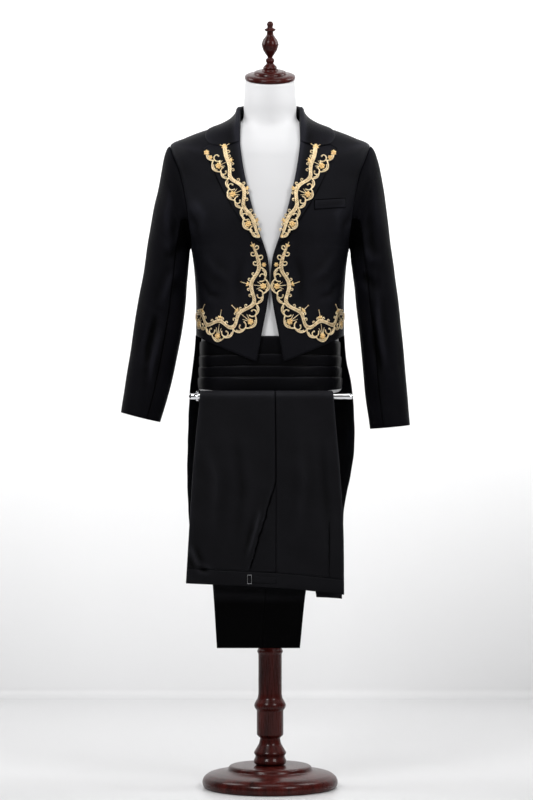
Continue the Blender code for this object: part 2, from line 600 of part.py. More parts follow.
def tail_place(side, u, v, end_z, depth):
    """A place on a tail: u from its outer edge to the centre vent, v from the waist seam down."""
    outer_name, inner_name = ("left_x", "inner_left") if side > 0 else ("right_x", "inner_right")
    top = WAIST_SEAM_SIDE
    point = Vector()
    for _ in range(3):
        z = mix(top - SEAM, end_z, v)
        start = math.radians(along(TAIL_ROWS, z, "angle", reverse=True))
        half_width = along(TAIL_ROWS, z, outer_name, reverse=True) / math.sin(start) ** 0.9
        back_y = along(TAIL_ROWS, z, "back_y", reverse=True)
        ring = Ring(z, z, z, half_width, -0.1, back_y, 0.0, 2.25)
        end = math.pi - ring_angle(ring, along(TAIL_ROWS, z, inner_name, reverse=True))
        angle = mix(start, end, u)
        top = mix(WAIST_SEAM_BACK, WAIST_SEAM_SIDE, math.sin(angle) ** 2)
    point = ring_point(ring, angle, side)
    ahead, behind = ring_point(ring, angle + 0.03, side), ring_point(ring, angle - 0.03, side)
    normal = (ahead - behind).cross(Vector((0, 0, 1))).normalized() * side
    return point - normal * CLOTH * depth


def make_tail(name, side, end_z):
    wall(name, lambda u, v, depth: tail_place(side, u, v, end_z, depth), 7, 11, WOOL)


def sleeve_place(rows, side, turn, row, depth):
    """A place on a sleeve. Row 0 is the seam in the armhole, and the last row is the cuff."""
    ring = rows[max(row - 1, 0)]
    outer = Vector((side * ring.outer_x, ring.centre_y, ring.outer_z))
    inner = Vector((side * ring.inner_x, ring.centre_y, ring.inner_z))
    centre, half = (outer + inner) / 2, (outer - inner) / 2
    inwards = -half.normalized() * math.cos(turn) + Vector((0, math.sin(turn), 0))
    if row == 0:
        seam = coat(armhole_angle(turn), armhole_level(turn), side)
        middle = coat(math.pi / 2, (ARMPIT_LEVEL + TIP_LEVEL) / 2, side)
        seam += (middle - seam).normalized() * SLEEVE_HOLE_GAP
        return seam + Vector((side * SLEEVE_HOLE_GAP, 0, 0)) + inwards * CLOTH * depth
    place = centre + half * math.cos(turn) - Vector((0, ring.half_depth * math.sin(turn), 0))
    return place + inwards * CLOTH * depth


def make_sleeve_piece(name, rows, side, first_step, last_step):
    """A piece of a sleeve between two of the sixteen steps around it, counted from its top."""
    step = math.pi / ARMHOLE_STEPS
    turns = [step * n for n in range(first_step, last_step + 1)]
    turns[0] += SLEEVE_SEAM_TURN
    turns[-1] -= SLEEVE_SEAM_TURN
    depths = list(range(len(rows) + 1))
    wall(name, lambda turn, row, depth: sleeve_place(rows, side, turn, row, depth), turns, depths, WOOL)


def make_sleeve(label, rows, side):
    around = 2 * ARMHOLE_STEPS
    make_sleeve_piece(f"sleeve_top_{label}", rows, side, BACK_SEAM_STEP - around, FRONT_SEAM_STEP)
    make_sleeve_piece(f"sleeve_under_{label}", rows, side, FRONT_SEAM_STEP, BACK_SEAM_STEP)


# ---------------------------------------------------------------- lapels and collar
# The fall's section from the turned-under edge over the roll to its outer edge. "in_by" runs from
# the roll line over the panel, and "share" adds a share of the width.
Fall = namedtuple("Fall", "share in_by rise inner_in_by inner_rise")
ROLLED_EDGE = (
    Fall(0.0, 0.0014, -0.0022, 0.0022, -0.0022),
    Fall(0.0, 0.0002, -0.0002, 0.0014, 0.0000),
    Fall(0.0, 0.0004, 0.0026, 0.0016, 0.0017),
)


def fall_height(distance):
    """The height of the fall's outer face over the coat, by the distance from the roll."""
    return LAPEL_CLEAR + CLOTH + ROLL_HEIGHT * math.exp(-((distance / ROLL_REACH) ** 2))


def gorge(share):
    """The seam between collar and lapel, from the roll line to the lapel's point."""
    count = len(GORGE) - 1
    x = mix(GORGE[0].x, GORGE[-1].x, share)
    i = next((n for n in range(count - 1) if x <= GORGE[n + 1].x), count - 1)
    part = (x - GORGE[i].x) / (GORGE[i + 1].x - GORGE[i].x)
    return x, mix(GORGE[i].z, GORGE[i + 1].z, part)


def lapel_outline(share, up):
    """A place on the lapel seen from the front: share from the roll line to its outer edge."""
    z_roll, z_edge = mix(BREAK_Z, GORGE[0].z, up), mix(LAPEL_EDGE[0].z, LAPEL_EDGE[-1].z, up)
    roll_x, edge_x = along(FRONT_EDGE, z_roll, "x"), along(LAPEL_EDGE, z_edge, "x")
    x, z = mix(roll_x, edge_x, share), mix(z_roll, z_edge, share)
    top_x, top_z = gorge(share)
    straight = mix(GORGE[0].z, GORGE[-1].z, share)
    dip = max(0.0, (up - 0.75) / 0.25) ** 2
    return x + (top_x - mix(GORGE[0].x, LAPEL_EDGE[-1].x, share)) * dip, z + (top_z - straight) * dip


def make_lapel(name, side):
    shares = [0.14, 0.36, 0.57, 0.66, 0.83, 1.0]

    def place(u, v, depth):
        column = round(u * (len(ROLLED_EDGE) + len(shares) - 1))
        top = 1 - (SEAM / 2) / (GORGE[0].z - BREAK_Z)
        up = v * top
        roll, edge = lapel_outline(0, up), lapel_outline(1, up)
        width = max(math.dist(roll, edge), 0.001)
        if column < len(ROLLED_EDGE):
            row = ROLLED_EDGE[column]
            narrow = min(1.0, width / 0.014)
            inward = (row.inner_in_by if depth else row.in_by) * narrow
            rise = row.inner_rise if depth else row.rise
            height = rise + LAPEL_CLEAR + 0.0009
            x, z = lapel_outline(inward / width, up)
        else:
            share = shares[column - len(ROLLED_EDGE)]
            x, z = lapel_outline(share, up)
            height = fall_height(share * width) - CLOTH * depth
        angle, level = coat_front(x, z)
        return coat(angle, level, side, height)

    wall(name, place, len(ROLLED_EDGE) + len(shares) - 1, 11, WOOL)


def collar_fold(turn):
    """Angle and level of the collar's fold, for a turn from 0, the centre back, to 1, the gorge."""
    if turn <= 0.5:
        return mix(math.pi, math.pi / 2, turn / 0.5), COLLAR_TOP_LEVEL
    down = (turn - 0.5) / 0.5
    _, end = coat_front(*gorge(0))
    level = mix(COLLAR_TOP_LEVEL, end, down)
    return ring_angle(ring_at(COAT_RINGS, level), mix(0.0675, GORGE[0].x, down)), level


def collar_edge(turn):
    """Angle and level of the outer edge of the collar's fall."""
    if turn <= 0.5:
        return mix(math.pi, math.pi / 2, turn / 0.5), COLLAR_EDGE_LEVEL
    down = (turn - 0.5) / 0.5
    angle, level = coat_front(COLLAR_CORNER.x, COLLAR_CORNER.z)
    return mix(math.pi / 2, angle, down**1.2), mix(COLLAR_EDGE_LEVEL, level, down)


def collar_place(turn, share):
    """Angle and level on the fall, with its front end cut along the gorge."""
    fold, edge = collar_fold(turn), collar_edge(turn)
    angle, level = mix(fold[0], edge[0], share), mix(fold[1], edge[1], share)
    lead = max(0.0, (turn - 0.8) / 0.2) ** 1.5
    if lead > 0:
        reach = (COLLAR_CORNER.x - GORGE[0].x) / (GORGE[-1].x - GORGE[0].x)
        x, z = gorge(share * reach)
        end_fold, end_edge = collar_fold(1.0), collar_edge(1.0)
        cut = coat_front(x, z + SEAM)
        angle += (cut[0] - mix(end_fold[0], end_edge[0], share)) * lead
        level += (cut[1] - mix(end_fold[1], end_edge[1], share)) * lead
    return angle, level


def make_collar():
    half = [n / 12 for n in range(1, 7)] + [0.62, 0.74, 0.86, 0.94, 1]
    turns = [-turn for turn in half[::-1]] + [0] + half
    shares = [0.12, 0.42, 0.72, 1.0]

    def place(u, v, depth):
        side = 1 if u >= 0 else -1
        turn = abs(u)
        column = round(v * (len(shares) + 3))
        fold = collar_fold(turn)
        top = coat(*fold, side)
        inwards = top - coat(*fold, side, 0.001)
        inwards = Vector((inwards.x, inwards.y, 0)).normalized()
        if column < 3:
            stand = mix(STAND_DEPTH, 0.003, max(0.0, (turn - 0.55) / 0.45) ** 0.7)
            down = (stand, 0.004, 0.0005)[column]
            lean = (0.0022, 0.0014, 0.0004)[column]
            if turn > 0.5:
                down = min(down, 0.004 + stand * 0.5)
            out = 0.0 if depth == 0 else -0.0011
            return top + inwards * (lean + out) - Vector((0, 0, down + (0.0004 if depth else 0)))
        if column == 3:
            return coat(*fold, side, 0.0022 - 0.0013 * depth) + Vector((0, 0, 0.0012 - 0.0012 * depth))
        share = shares[column - 4]
        angle, level = collar_place(turn, share)
        width = (coat(*fold) - coat(*collar_edge(turn))).length
        lift = COLLAR_CLEAR * min((1 - turn) / 0.3, 1.0) + COLLAR_LIFT * math.sin(math.pi * share) ** 0.5
        return coat(angle, level, side, lift + fall_height(share * width) - CLOTH * depth)

    wall("collar", place, turns, len(shares) + 3, WOOL)


# ---------------------------------------------------------------- breast pocket
def make_breast_pocket():
    """The welt: a flat strip on the left front, a little higher towards the arm."""
    def place(u, v, depth):
        x = mix(WELT_X[0], WELT_X[1], u)
        z = mix(WELT_Z[0], WELT_Z[1], v) + WELT_RISE * u
        angle, level = coat_front(x, z)
        return coat(angle, level, 1, REST + WELT_CLOTH * (1 - depth))

    wall("breast_pocket", place, 5, 2, SATIN)


# ================================================================ the cummerbund
def sash_place(angle, z, height):
    side = 1 if angle >= 0 else -1
    return surface(FORM_RINGS, abs(angle), z, side, SASH_REST + height)


def make_cummerbund():
    count = len(PLEAT_CENTRES) - 1
    rows = []  # the pleat and the share of it, from the top edge down
    for pleat in range(count):
        rows += [(pleat, 0.02), (pleat, 0.5), (pleat, 0.98)]

    def place(u, v, depth):
        angle = mix(-SASH_END, SASH_END, u)
        bow = math.sin(angle) ** 2
        pleat, share = rows[round(v * (len(rows) - 1))]
        top = mix(PLEAT_CENTRES[pleat], PLEAT_SIDES[pleat], bow)
        bottom = mix(PLEAT_CENTRES[pleat + 1], PLEAT_SIDES[pleat + 1], bow)
        height = SASH_CLOTH + PLEAT_STEP * (1 - share) if depth == 0 else 0.0
        return sash_place(angle, mix(top, bottom, share), height)

    wall("cummerbund", place, 16, len(rows) - 1, SATIN)

    def strap(u, v, depth):
        angle = mix(SASH_END + 0.02, 2 * math.pi - SASH_END - 0.02, u)
        turned_angle = angle if angle <= math.pi else angle - 2 * math.pi
        z = mix(STRAP_Z[0], STRAP_Z[1], v)
        return sash_place(turned_angle, z, SASH_CLOTH * (1 - depth))

    wall("cummerbund_strap", strap, 14, 1, SATIN)


# ================================================================ the trousers
def drape(x, over, height):
    """A place in the layers over the bar: over is measured from the bar's top, behind is plus."""
    inside = BAR_RADIUS + REST
    middle = inside + STACK / 2
    quarter = middle * math.pi / 2
    if abs(over) <= quarter:
        turn = over / middle
        return Vector((x, BAR_Y + (inside + height) * math.sin(turn),
                       BAR_Z + (inside + height) * math.cos(turn)))
    drop = abs(over) - quarter
    facing = -1 if over < 0 else 1
    sway = FALL_SWAY * math.sin(drop * FALL_WAVE) * min(drop / 0.1, 1.0) if over < 0 else 0.0
    y = BAR_Y + facing * (inside + height) - sway
    return Vector((x, y, BAR_Z - drop))


def over_at(z):
    """How far over the bar a height is, on the front fall."""
    middle = BAR_RADIUS + REST + STACK / 2
    return -(BAR_Z - z + middle * math.pi / 2)


def trouser_x(over, name):
    return along(TROUSER_ROWS, over, name)


def pocket_x(over):
    """The edge of the front panel: the slanted pocket mouth, and the side seam above it."""
    seam = trouser_x(over, "seam_x") - SEAM / 2
    start, end = over_at(POCKET_SEAM_Z), over_at(POCKET_WAIST_Z)
    if over >= start:
        return seam
    return mix(seam, POCKET_WAIST_X, min((start - over) / (start - end), 1.0))


def band_line(x):
    """How far over the bar the waistband's seam is."""
    return over_at(along(WAIST_END, x, "z")) + WAISTBAND


def fall_rows(first, last):
    """Places over the bar for a grid's rows: even on the falls, and close where they bend."""
    quarter = (BAR_RADIUS + REST + STACK / 2) * math.pi / 2
    bent = [quarter * n / 3 for n in range(-3, 4)]
    rows = [*FRONT_FALL_ROWS, *bent, *BACK_FALL_ROWS]
    return [first] + [row for row in rows if first + 0.01 < row < last - 0.01] + [last]


def make_trouser_panel(name, edge, outermost):
    """A front or back panel of the upper leg (outermost) or of the leg that lies on the bar."""
    front = edge == "front_x"
    waist = -0.41

    def place(u, v, depth):
        column = round(u * (len(CREASE) + len(FLATS) - 1))
        x = trouser_x(0.0, edge)
        for _ in range(2):
            over = band_line(x) + SEAM if v == waist else v
            crease = trouser_x(over, edge)
            seam = pocket_x(over) if front else trouser_x(over, "seam_x") + SEAM / 2
            inwards = 1 if seam > crease else -1
            if column < len(CREASE):
                row = CREASE[column]
                x = crease + inwards * (row.inner_in if depth else row.outer_in)
                drop = row.inner_drop if depth else row.outer_drop
            else:
                x = mix(crease, seam, FLATS[column - len(CREASE)])
                drop = TROUSER_CLOTH * depth
        return drape(x, over, STACK - drop if outermost else drop)

    rows = fall_rows(waist, TROUSER_ROWS[-1].along)
    wall(name, place, len(CREASE) + len(FLATS) - 1, rows, WOOL)


def make_trousers():
    for label, outermost in (("right", True), ("left", False)):
        make_trouser_panel(f"trouser_front_{label}", "front_x", outermost)
        make_trouser_panel(f"trouser_back_{label}", "back_x", outermost)
    top, hem = over_at(CROTCH_Z), TROUSER_ROWS[-1].along - 0.0008
    inset = TROUSER_CLOTH + SEAM + 0.0002
    low, high = TROUSER_CLOTH + SEAM, STACK - TROUSER_CLOTH - SEAM

    def layers(u, v, depth):
        edge, share = ("front_x", -u) if u <= 0 else ("back_x", u)
        x = mix(trouser_x(v, "seam_x"), trouser_x(v, edge) + (inset if u < 0 else -inset), share)
        return drape(x, v, low if depth else high)

    wall("trouser_inseam_layers", layers, [-1, 0, 1], fall_rows(top, hem), WOOL)

    def fly(u, v, depth):
        waist = over_at(along(WAIST_END, trouser_x(0.0, "front_x"), "z")) + 0.004
        over = mix(waist, waist + FLY_LENGTH, v)
        x = trouser_x(over, "front_x") + inset + FLY_WIDTH * u * (1 - 0.8 * v**3)
        return drape(x, over, STACK / 2 + TROUSER_CLOTH * (0.5 - depth))

    wall("trouser_fly", fly, 2, 5, WOOL)

    for label, outermost in (("right", True), ("left", False)):
        def facing(u, v, depth, outermost=outermost):
            end = over_at(POCKET_SEAM_Z) - 0.004
            start = band_line(0.0) + SEAM
            over = mix(start, end, v)
            x = mix(pocket_x(over) - POCKET_UNDERLAP * (1 - v) - 0.002, trouser_x(over, "seam_x"), u)
            drop = TROUSER_CLOTH + SEAM + TROUSER_CLOTH * depth
            return drape(x, over, STACK - drop if outermost else drop)

        def band(u, v, depth, outermost=outermost):
            ends = len(CREASE)
            flats = (0.14, 0.28, 0.42, 0.565, 0.78, 0.92)
            column = round(u * (2 * ends + len(flats) - 1))
            from_end = min(column, 2 * ends + len(flats) - 1 - column)
            front = column < ends + len(flats) // 2
            x = trouser_x(TROUSER_ROWS[0].along, "front_x" if front else "back_x")
            for _ in range(2):
                seam = band_line(x) - SEAM / 2
                over = mix(seam - WAISTBAND, seam, v)
                low_x, high_x = trouser_x(over, "front_x"), trouser_x(over, "back_x")
                if from_end < ends:
                    row = CREASE[from_end]
                    step = row.inner_in if depth else row.outer_in
                    x = low_x + step if front else high_x - step
                    drop = row.inner_drop if depth else row.outer_drop
                else:
                    x = mix(low_x, high_x, flats[column - ends])
                    drop = TROUSER_CLOTH * depth
            raised = 0.0 if depth else BAND_EXTRA * min(from_end / ends, 1.0)
            return drape(x, over, STACK - drop + raised if outermost else drop - raised)

        wall(f"trouser_pocket_facing_{label}", facing, 3, 5, WOOL)
        wall(f"waistband_{label}", band, 2 * len(CREASE) + 5, 1, WOOL)

        def tab(u, v, depth, outermost=outermost):
            x = mix(TAB_X[0], TAB_X[1], u)
            over = band_line(x) - WAISTBAND / 2 + TAB_WIDTH * (v - 0.5)
            height = BAND_EXTRA + SEAM * 1.5 + TROUSER_CLOTH * (1 - depth)
            return drape(x, over, STACK + height if outermost else -height)

        wall(f"waist_tab_{label}", tab, 4, 1, SATIN)
        side = 1 if outermost else -1
        middle = drape(TAB_X[0] - 0.0065, band_line(TAB_X[0]) - WAISTBAND / 2,
                       STACK + BAND_EXTRA if outermost else -BAND_EXTRA)
        middle.y -= side * (SEAM * 1.5 + HOOK_WIRE)
        corners = ((-1, -1), (1, -1), (1, 1), (-1, 1))
        loop = [middle + Vector((a * 0.0045, 0, b * 0.0095)) for a, b in corners]
        tube(f"waist_hook_{label}", loop, HOOK_WIRE, CHROME, cyclic=True)


# ================================================================ the applique
def corner_fans(vertex):
    """The faces round a corner, in groups that share edges. Two groups would touch at a point."""
    left = set(vertex.link_faces)
    fans = []
    while left:
        fan, edge_faces = set(), [left.pop()]
        while edge_faces:
            face = edge_faces.pop()
            fan.add(face)
            for edge in vertex.link_edges:
                if face in edge.link_faces:
                    near = [other for other in edge.link_faces if other in left]
                    edge_faces += near
                    left -= set(near)
        fans.append(fan)
    return fans


class Pattern:
    """Flat strokes of cord and braid, joined into one cut outline."""

    def __init__(self):
        self.points = []
        self.shapes = []

    def add_shape(self, corners):
        start = len(self.points)
        self.points += [Vector(corner) for corner in corners]
        self.shapes.append(list(range(start, len(self.points))))

    def add_stroke(self, line, width, taper=1.0):
        """A ribbon along a line, as one four-sided shape for each of its runs."""
        line = [Vector(point) for point in line]
        sides = []
        for n, point in enumerate(line):
            ahead = line[min(n + 1, len(line) - 1)] - line[max(n - 1, 0)]
            across = Vector((-ahead.y, ahead.x)).normalized()
            share = n / (len(line) - 1)
            across *= width / 2 * mix(1.0, taper, share)
            sides.append((point + across, point - across))
        for (a, b), (c, d) in zip(sides, sides[1:]):
            self.add_shape((b, d, c, a))

    def add_disc(self, centre, radius, corners=7):
        turns = [2 * math.pi * (n + 0.5) / corners for n in range(corners)]
        self.add_shape([Vector(centre) + Vector((math.cos(t), math.sin(t))) * radius for t in turns])

    def sheet(self):
        """The strokes' joined outline, filled with triangles, as a flat bmesh."""
        points, _, faces, _, _, origins = delaunay_2d_cdt(self.points, [], self.shapes, 0, 1e-4)
        bm = bmesh.new()
        vertices = [bm.verts.new((point.x, point.y, 0)) for point in points]
        for face, origin in zip(faces, origins):
            if origin:
                bm.faces.new([vertices[n] for n in face])
        for vertex in list(bm.verts):
            fans = corner_fans(vertex)
            for fan in sorted(fans, key=len)[:-1]:
                bmesh.ops.delete(bm, geom=list(fan), context="FACES_ONLY")
        loose = [vertex for vertex in bm.verts if not vertex.link_faces]
        bmesh.ops.delete(bm, geom=loose, context="VERTS")
        bmesh.ops.dissolve_limit(bm, angle_limit=STRAIGHT, verts=bm.verts, edges=bm.edges)
        for _ in range(2):
            long_cuts = [edge for edge in bm.edges if edge.calc_length() > LONGEST_CUT]
            bmesh.ops.subdivide_edges(bm, edges=long_cuts, cuts=1)
        bmesh.ops.triangulate(bm, faces=bm.faces)
        return bm


def band_frames(rows):
    """How a band is read: a function for a flat place on it, and its length."""
    columns = [[getattr(row, name) for row in rows] for name in Band._fields]
    fine = 40 * (len(rows) - 1)

    def at(t):
        part = min(int(t), len(rows) - 2)
        share = t - part
        values = []
        for column in columns:
            before, after = column[max(part - 1, 0)], column[min(part + 2, len(rows) - 1)]
            here, there = column[part], column[part + 1]
            start, end = (there - before) / 2, (after - here) / 2
            values.append(here + share * start + share**2 * (3 * (there - here) - 2 * start - end)
                          + share**3 * (start + end - 2 * (there - here)))
        return values

    samples = [at((len(rows) - 1) * n / fine) for n in range(fine + 1)]
    lengths = [0.0]
    for first, second in zip(samples, samples[1:]):
        lengths.append(lengths[-1] + math.dist(first[:2], second[:2]))

    def place(distance, across):
        """A flat place, by the distance along the band and the share of its reach to a side."""
        distance = min(max(distance, 0.0), lengths[-1] - 1e-6)
        n = next(i for i in range(fine) if distance <= lengths[i + 1])
        share = (distance - lengths[n]) / (lengths[n + 1] - lengths[n])
        x, z, outer, inner = [mix(a, b, share) for a, b in zip(samples[n], samples[n + 1])]
        ahead = Vector(samples[min(n + 3, fine)][:2]) - Vector(samples[max(n - 2, 0)][:2])
        side = Vector((ahead.y, -ahead.x)).normalized()
        reach = outer if across > 0 else inner
        return Vector((x, z)) + side * across * reach

    return place, lengths[-1]


def vine_across(bay, share):
    """How far across the band the vine is, at a share of a bay."""
    crest = 1.0 if bay.opens and share > 0.5 else math.sin(math.pi * share)
    return mix(VINE_OUT, VINE_IN, crest**1.3)


def lobe(first, last, bulge, steps=4):
    """A lobe of the border, from one place to another and bulging outwards."""
    chord = last - first
    out = Vector((chord.y, -chord.x)) * bulge
    return [mix(first, last, n / steps) + out * math.sin(math.pi * n / steps)**0.8
            for n in range(steps + 1)]


def scroll_pattern(rows, bays):
    """A sinuous vine with a lobed border, and in each bay a rosette between two C-scrolls."""
    place, length = band_frames(rows)
    pattern = Pattern()
    vine = [place(bays[0].start * length * n / 3, VINE_OUT * n / 3) for n in range(3)]
    vine = vine if bays[0].start > 0 else []
    for bay in bays:
        start, run = bay.start * length, (bay.end - bay.start) * length
        meets = (0.15, LOBE_ACROSS, mix(LOBE_ACROSS, bay.last_across, 0.5 * bay.opens), bay.last_across)
        cusps = [place(start + share * run, across) for share, across in zip(LOBE_ENDS, meets)]
        for first, last, bulge in zip(cusps, cusps[1:], LOBE_BULGES):
            pattern.add_stroke(lobe(first, last, bulge), CORD_WIDTH)
        steps = 6
        vine += [place(start + run * n / steps, vine_across(bay, n / steps)) for n in range(steps)]
        middle = start + run / 2
        for way in (-1, 1):
            centre = place(middle + way * SCROLL_PLACE[0] * run, SCROLL_PLACE[1])
            foot = place(middle + way * SCROLL_FOOT[0] * run, SCROLL_FOOT[1])
            begin, radius = math.atan2(foot.y - centre.y, foot.x - centre.x), math.dist(foot, centre)
            scroll = []
            for k in range(SCROLL_STEPS + 1):
                share = k / SCROLL_STEPS
                turn = begin + way * SCROLL_TURN * share
                scroll.append(centre + Vector((math.cos(turn), math.sin(turn))) * radius * (1 - 0.55 * share))
            stem = [place(middle, ROSETTE_ACROSS)] if bay.opens else []
            pattern.add_stroke(stem + scroll, CORD_WIDTH, 0.9)
        pattern.add_disc(place(middle, ROSETTE_ACROSS), ROSETTE_RADIUS)
        stamen = [place(middle, ROSETTE_ACROSS), place(middle, vine_across(bay, 0.5))]
        pattern.add_stroke(stamen, CORD_WIDTH)
        if bay.bud:
            tip = place(middle - TIP_PLACE[0] * run, TIP_PLACE[1])
            pattern.add_stroke([place(middle, VINE_IN), tip], SPIKE_WIDTH)
            pattern.add_disc(place(middle - BUD_PLACE[0] * run, BUD_PLACE[1]), BUD_RADIUS, 6)
    vine.append(place(length, vine_across(bays[-1], 1.0)))
    pattern.add_stroke(vine, VINE_WIDTH)
    pattern.add_disc(place(0.0, 0.0), BUD_RADIUS, 6)
    return pattern


def add_applique(name, pattern, lay, side):
    """The pattern as one raised piece: lay(x, z, height) puts a flat place on what carries it."""
    bm = pattern.sheet()
    grown = bmesh.ops.extrude_face_region(bm, geom=bm.faces[:], use_keep_orig=True)
    raised = {item for item in grown["geom"] if isinstance(item, bmesh.types.BMVert)}
    for vertex in bm.verts:
        height = APPLIQUE_GAP + (APPLIQUE if vertex in raised else 0.0)
        vertex.co = lay(vertex.co.x, vertex.co.y, height, side)
    add_mesh(name, bm, GOLD)


def lay_on_front(girth, z, height, side):
    """A place on a front, with girth measured around it from its middle."""
    ring = ring_at(COAT_RINGS, z)
    fine = 90
    walked, last = 0.0, ring_point(ring, 0.0)
    for n in range(1, fine + 1):
        here = ring_point(ring, math.pi / 2 * n / fine)
        step = (here - last).length
        if walked + step >= girth or n == fine:
            angle = math.pi / 2 * (n - 1 + min((girth - walked) / step, 1.0)) / fine
            return coat(angle, z, side, height)
        walked, last = walked + step, here


def lay_on_lapel(x, z, height, side):
    roll_x = along(FRONT_EDGE, z, "x")
    angle, level = coat_front(x, z)
    return coat(angle, level, side, height + fall_height(max(x - roll_x, 0.0)))


def make_appliques():
    for label, side in (("left", 1), ("right", -1)):
        add_applique(f"applique_front_{label}", scroll_pattern(FRONT_BAND, FRONT_BAYS), lay_on_front, side)
        add_applique(f"applique_lapel_{label}", scroll_pattern(LAPEL_BAND, LAPEL_BAYS), lay_on_lapel, side)


# ================================================================ the whole
for old in list(bpy.data.objects):
    bpy.data.objects.remove(old)
SUIT = new_collection("peak_lapel_suit")
make_form()
make_trouser_bar()
arm_seat()
for body_label, body_side in (("left", 1), ("right", -1)):
    make_front(f"front_{body_label}", body_side)
    make_back(f"back_{body_label}", body_side)
    make_lapel(f"lapel_{body_label}", body_side)
make_tail("tail_left", 1, TAIL_END_LEFT)
make_tail("tail_right", -1, TAIL_END_RIGHT)
make_sleeve("left", SLEEVE_LEFT, 1)
make_sleeve("right", SLEEVE_RIGHT, -1)
make_collar()
make_breast_pocket()
make_cummerbund()
make_trousers()
make_appliques()
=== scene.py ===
"""A black evening tail suit with gold scrollwork, worn by a limbless dress form.

The tailcoat and the pleated cummerbund are on the form, and the trousers are folded over the
form's chrome bar. Metres, +Z up. The front faces -Y and the wearer's left is +X.
"""

from __future__ import annotations

import logging
import math
from dataclasses import dataclass, field
from enum import Enum
from typing import Any, Callable, ClassVar, Sequence

import bmesh
import bpy
import numpy as np
from mathutils import Matrix, Vector

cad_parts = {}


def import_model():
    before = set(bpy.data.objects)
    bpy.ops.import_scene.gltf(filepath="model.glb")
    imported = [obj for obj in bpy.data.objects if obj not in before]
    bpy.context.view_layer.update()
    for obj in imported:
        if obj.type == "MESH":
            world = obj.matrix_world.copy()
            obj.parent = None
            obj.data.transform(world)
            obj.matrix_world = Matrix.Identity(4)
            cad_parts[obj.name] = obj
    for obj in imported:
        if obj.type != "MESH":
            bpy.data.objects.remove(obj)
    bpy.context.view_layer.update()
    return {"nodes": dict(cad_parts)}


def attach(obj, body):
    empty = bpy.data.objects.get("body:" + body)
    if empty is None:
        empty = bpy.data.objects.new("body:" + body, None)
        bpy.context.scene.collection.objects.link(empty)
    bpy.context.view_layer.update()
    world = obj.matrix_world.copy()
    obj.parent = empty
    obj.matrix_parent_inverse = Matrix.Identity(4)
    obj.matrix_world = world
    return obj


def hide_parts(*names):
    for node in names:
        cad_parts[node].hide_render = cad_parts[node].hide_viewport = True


LOG = logging.getLogger("peak_lapel_suit")
Array = np.ndarray
PI = math.pi

COAT_CLOTH = 0.0015
TROUSER_CLOTH = 0.0012
SEAM = 0.0004
REST = 0.0004
SHORT = 0.001
WELD_GAP = 0.00002
FOLD_DEPTH = 0.0010
RING_COLUMNS = "level side_z back_z half_width front_y back_y side_y squareness"
ARMPIT_LEVEL, TIP_LEVEL, NECKLINE_LEVEL, COLLAR_TOP_LEVEL = 1.212, 1.400, 1.500, 1.517


class Side(Enum):
    """A side of the wearer, with the sign of its x."""

    LEFT = 1
    RIGHT = -1

    @property
    def label(self) -> str:
        """The side's word in a piece's name."""
        return self.name.lower()


class Slot(Enum):
    """The record's material slots."""

    COAT = "coat_wool"
    TROUSERS = "trouser_wool"
    SATIN = "satin"
    GOLD = "gold_braid"
    JERSEY = "jersey"
    WOOD = "mahogany"
    CHROME = "chrome"


# ------------------------------------------------------------------ sizes read as smooth curves
@dataclass(frozen=True)
class Table:
    """Rows of sizes under named columns, read as one smooth curve down each column."""

    columns: str
    rows: tuple[tuple[float, ...], ...]

    def column(self, name: str) -> Array:
        """Every value of one column."""
        return np.array([row[self.columns.split().index(name)] for row in self.rows])

    def read(self, key: Any, name: str) -> Array:
        """Read a column at places along the first column.

        Args:
            key: Places along the first column.
            name: The column to read.

        Returns:
            The smooth curve's value at each place.
        """
        keys, values = self.column(self.columns.split()[0]), self.column(name)
        if keys[0] > keys[-1]:
            keys, values = keys[::-1], values[::-1]
        n = np.arange(len(keys))
        low, high = np.maximum(n - 1, 0), np.minimum(n + 1, len(keys) - 1)
        slope = (values[high] - values[low]) / (keys[high] - keys[low])
        key = np.clip(key, keys[0], keys[-1])
        i = np.clip(np.searchsorted(keys, key) - 1, 0, len(keys) - 2)
        span, rise = keys[i + 1] - keys[i], values[i + 1] - values[i]
        t = (key - keys[i]) / span
        return curved(values[i], rise, slope[i] * span, slope[i + 1] * span, t)


def mix(low: Any, high: Any, share: Any) -> Any:
    """The value a share of the way from low to high."""
    return low + (high - low) * share


def curved(here: Array, rise: Array, start: Array, end: Array, share: Array) -> Array:
    """The smooth curve's values at a share of each span.

    Args:
        here: The values where the spans start.
        rise: How far each span rises.
        start: The slope at its start, over the whole span.
        end: The slope at its end, over the whole span.
        share: The share of the span.

    Returns:
        The values.
    """
    square = share * share * (3 * rise - 2 * start - end)
    return here + share * start + square + share**3 * (start + end - 2 * rise)


def shares(columns: int, rows: int) -> Sequence[Array]:
    """Shares from 0 to 1 across and along a grid."""
    return np.broadcast_arrays(np.linspace(0, 1, columns)[None, :], np.linspace(0, 1, rows)[:, None])


def ramp(value: Any, start: float, end: float) -> Array:
    """A smooth step from 0 at start to 1 at end."""
    share = np.clip((np.asarray(value, float) - start) / (end - start), 0, 1)
    return share * share * (3 - 2 * share)


def points(x: Any, y: Any, z: Any) -> Array:
    """Places in space from three coordinates of any matching shapes."""
    return np.stack(np.broadcast_arrays(x, y, z), axis=-1).astype(float)


def unit(vectors: Array) -> Array:
    """Each vector at length one."""
    return vectors / np.maximum(np.linalg.norm(vectors, axis=-1, keepdims=True), 1e-12)


def from_axis(here: Array) -> Array:
    """The level direction out from the upright axis."""
    return here * [1, 1, 0]


def forward(_: Array) -> Array:
    """The direction towards the front, the same for every place."""
    return np.array([0, -1.0, 0])


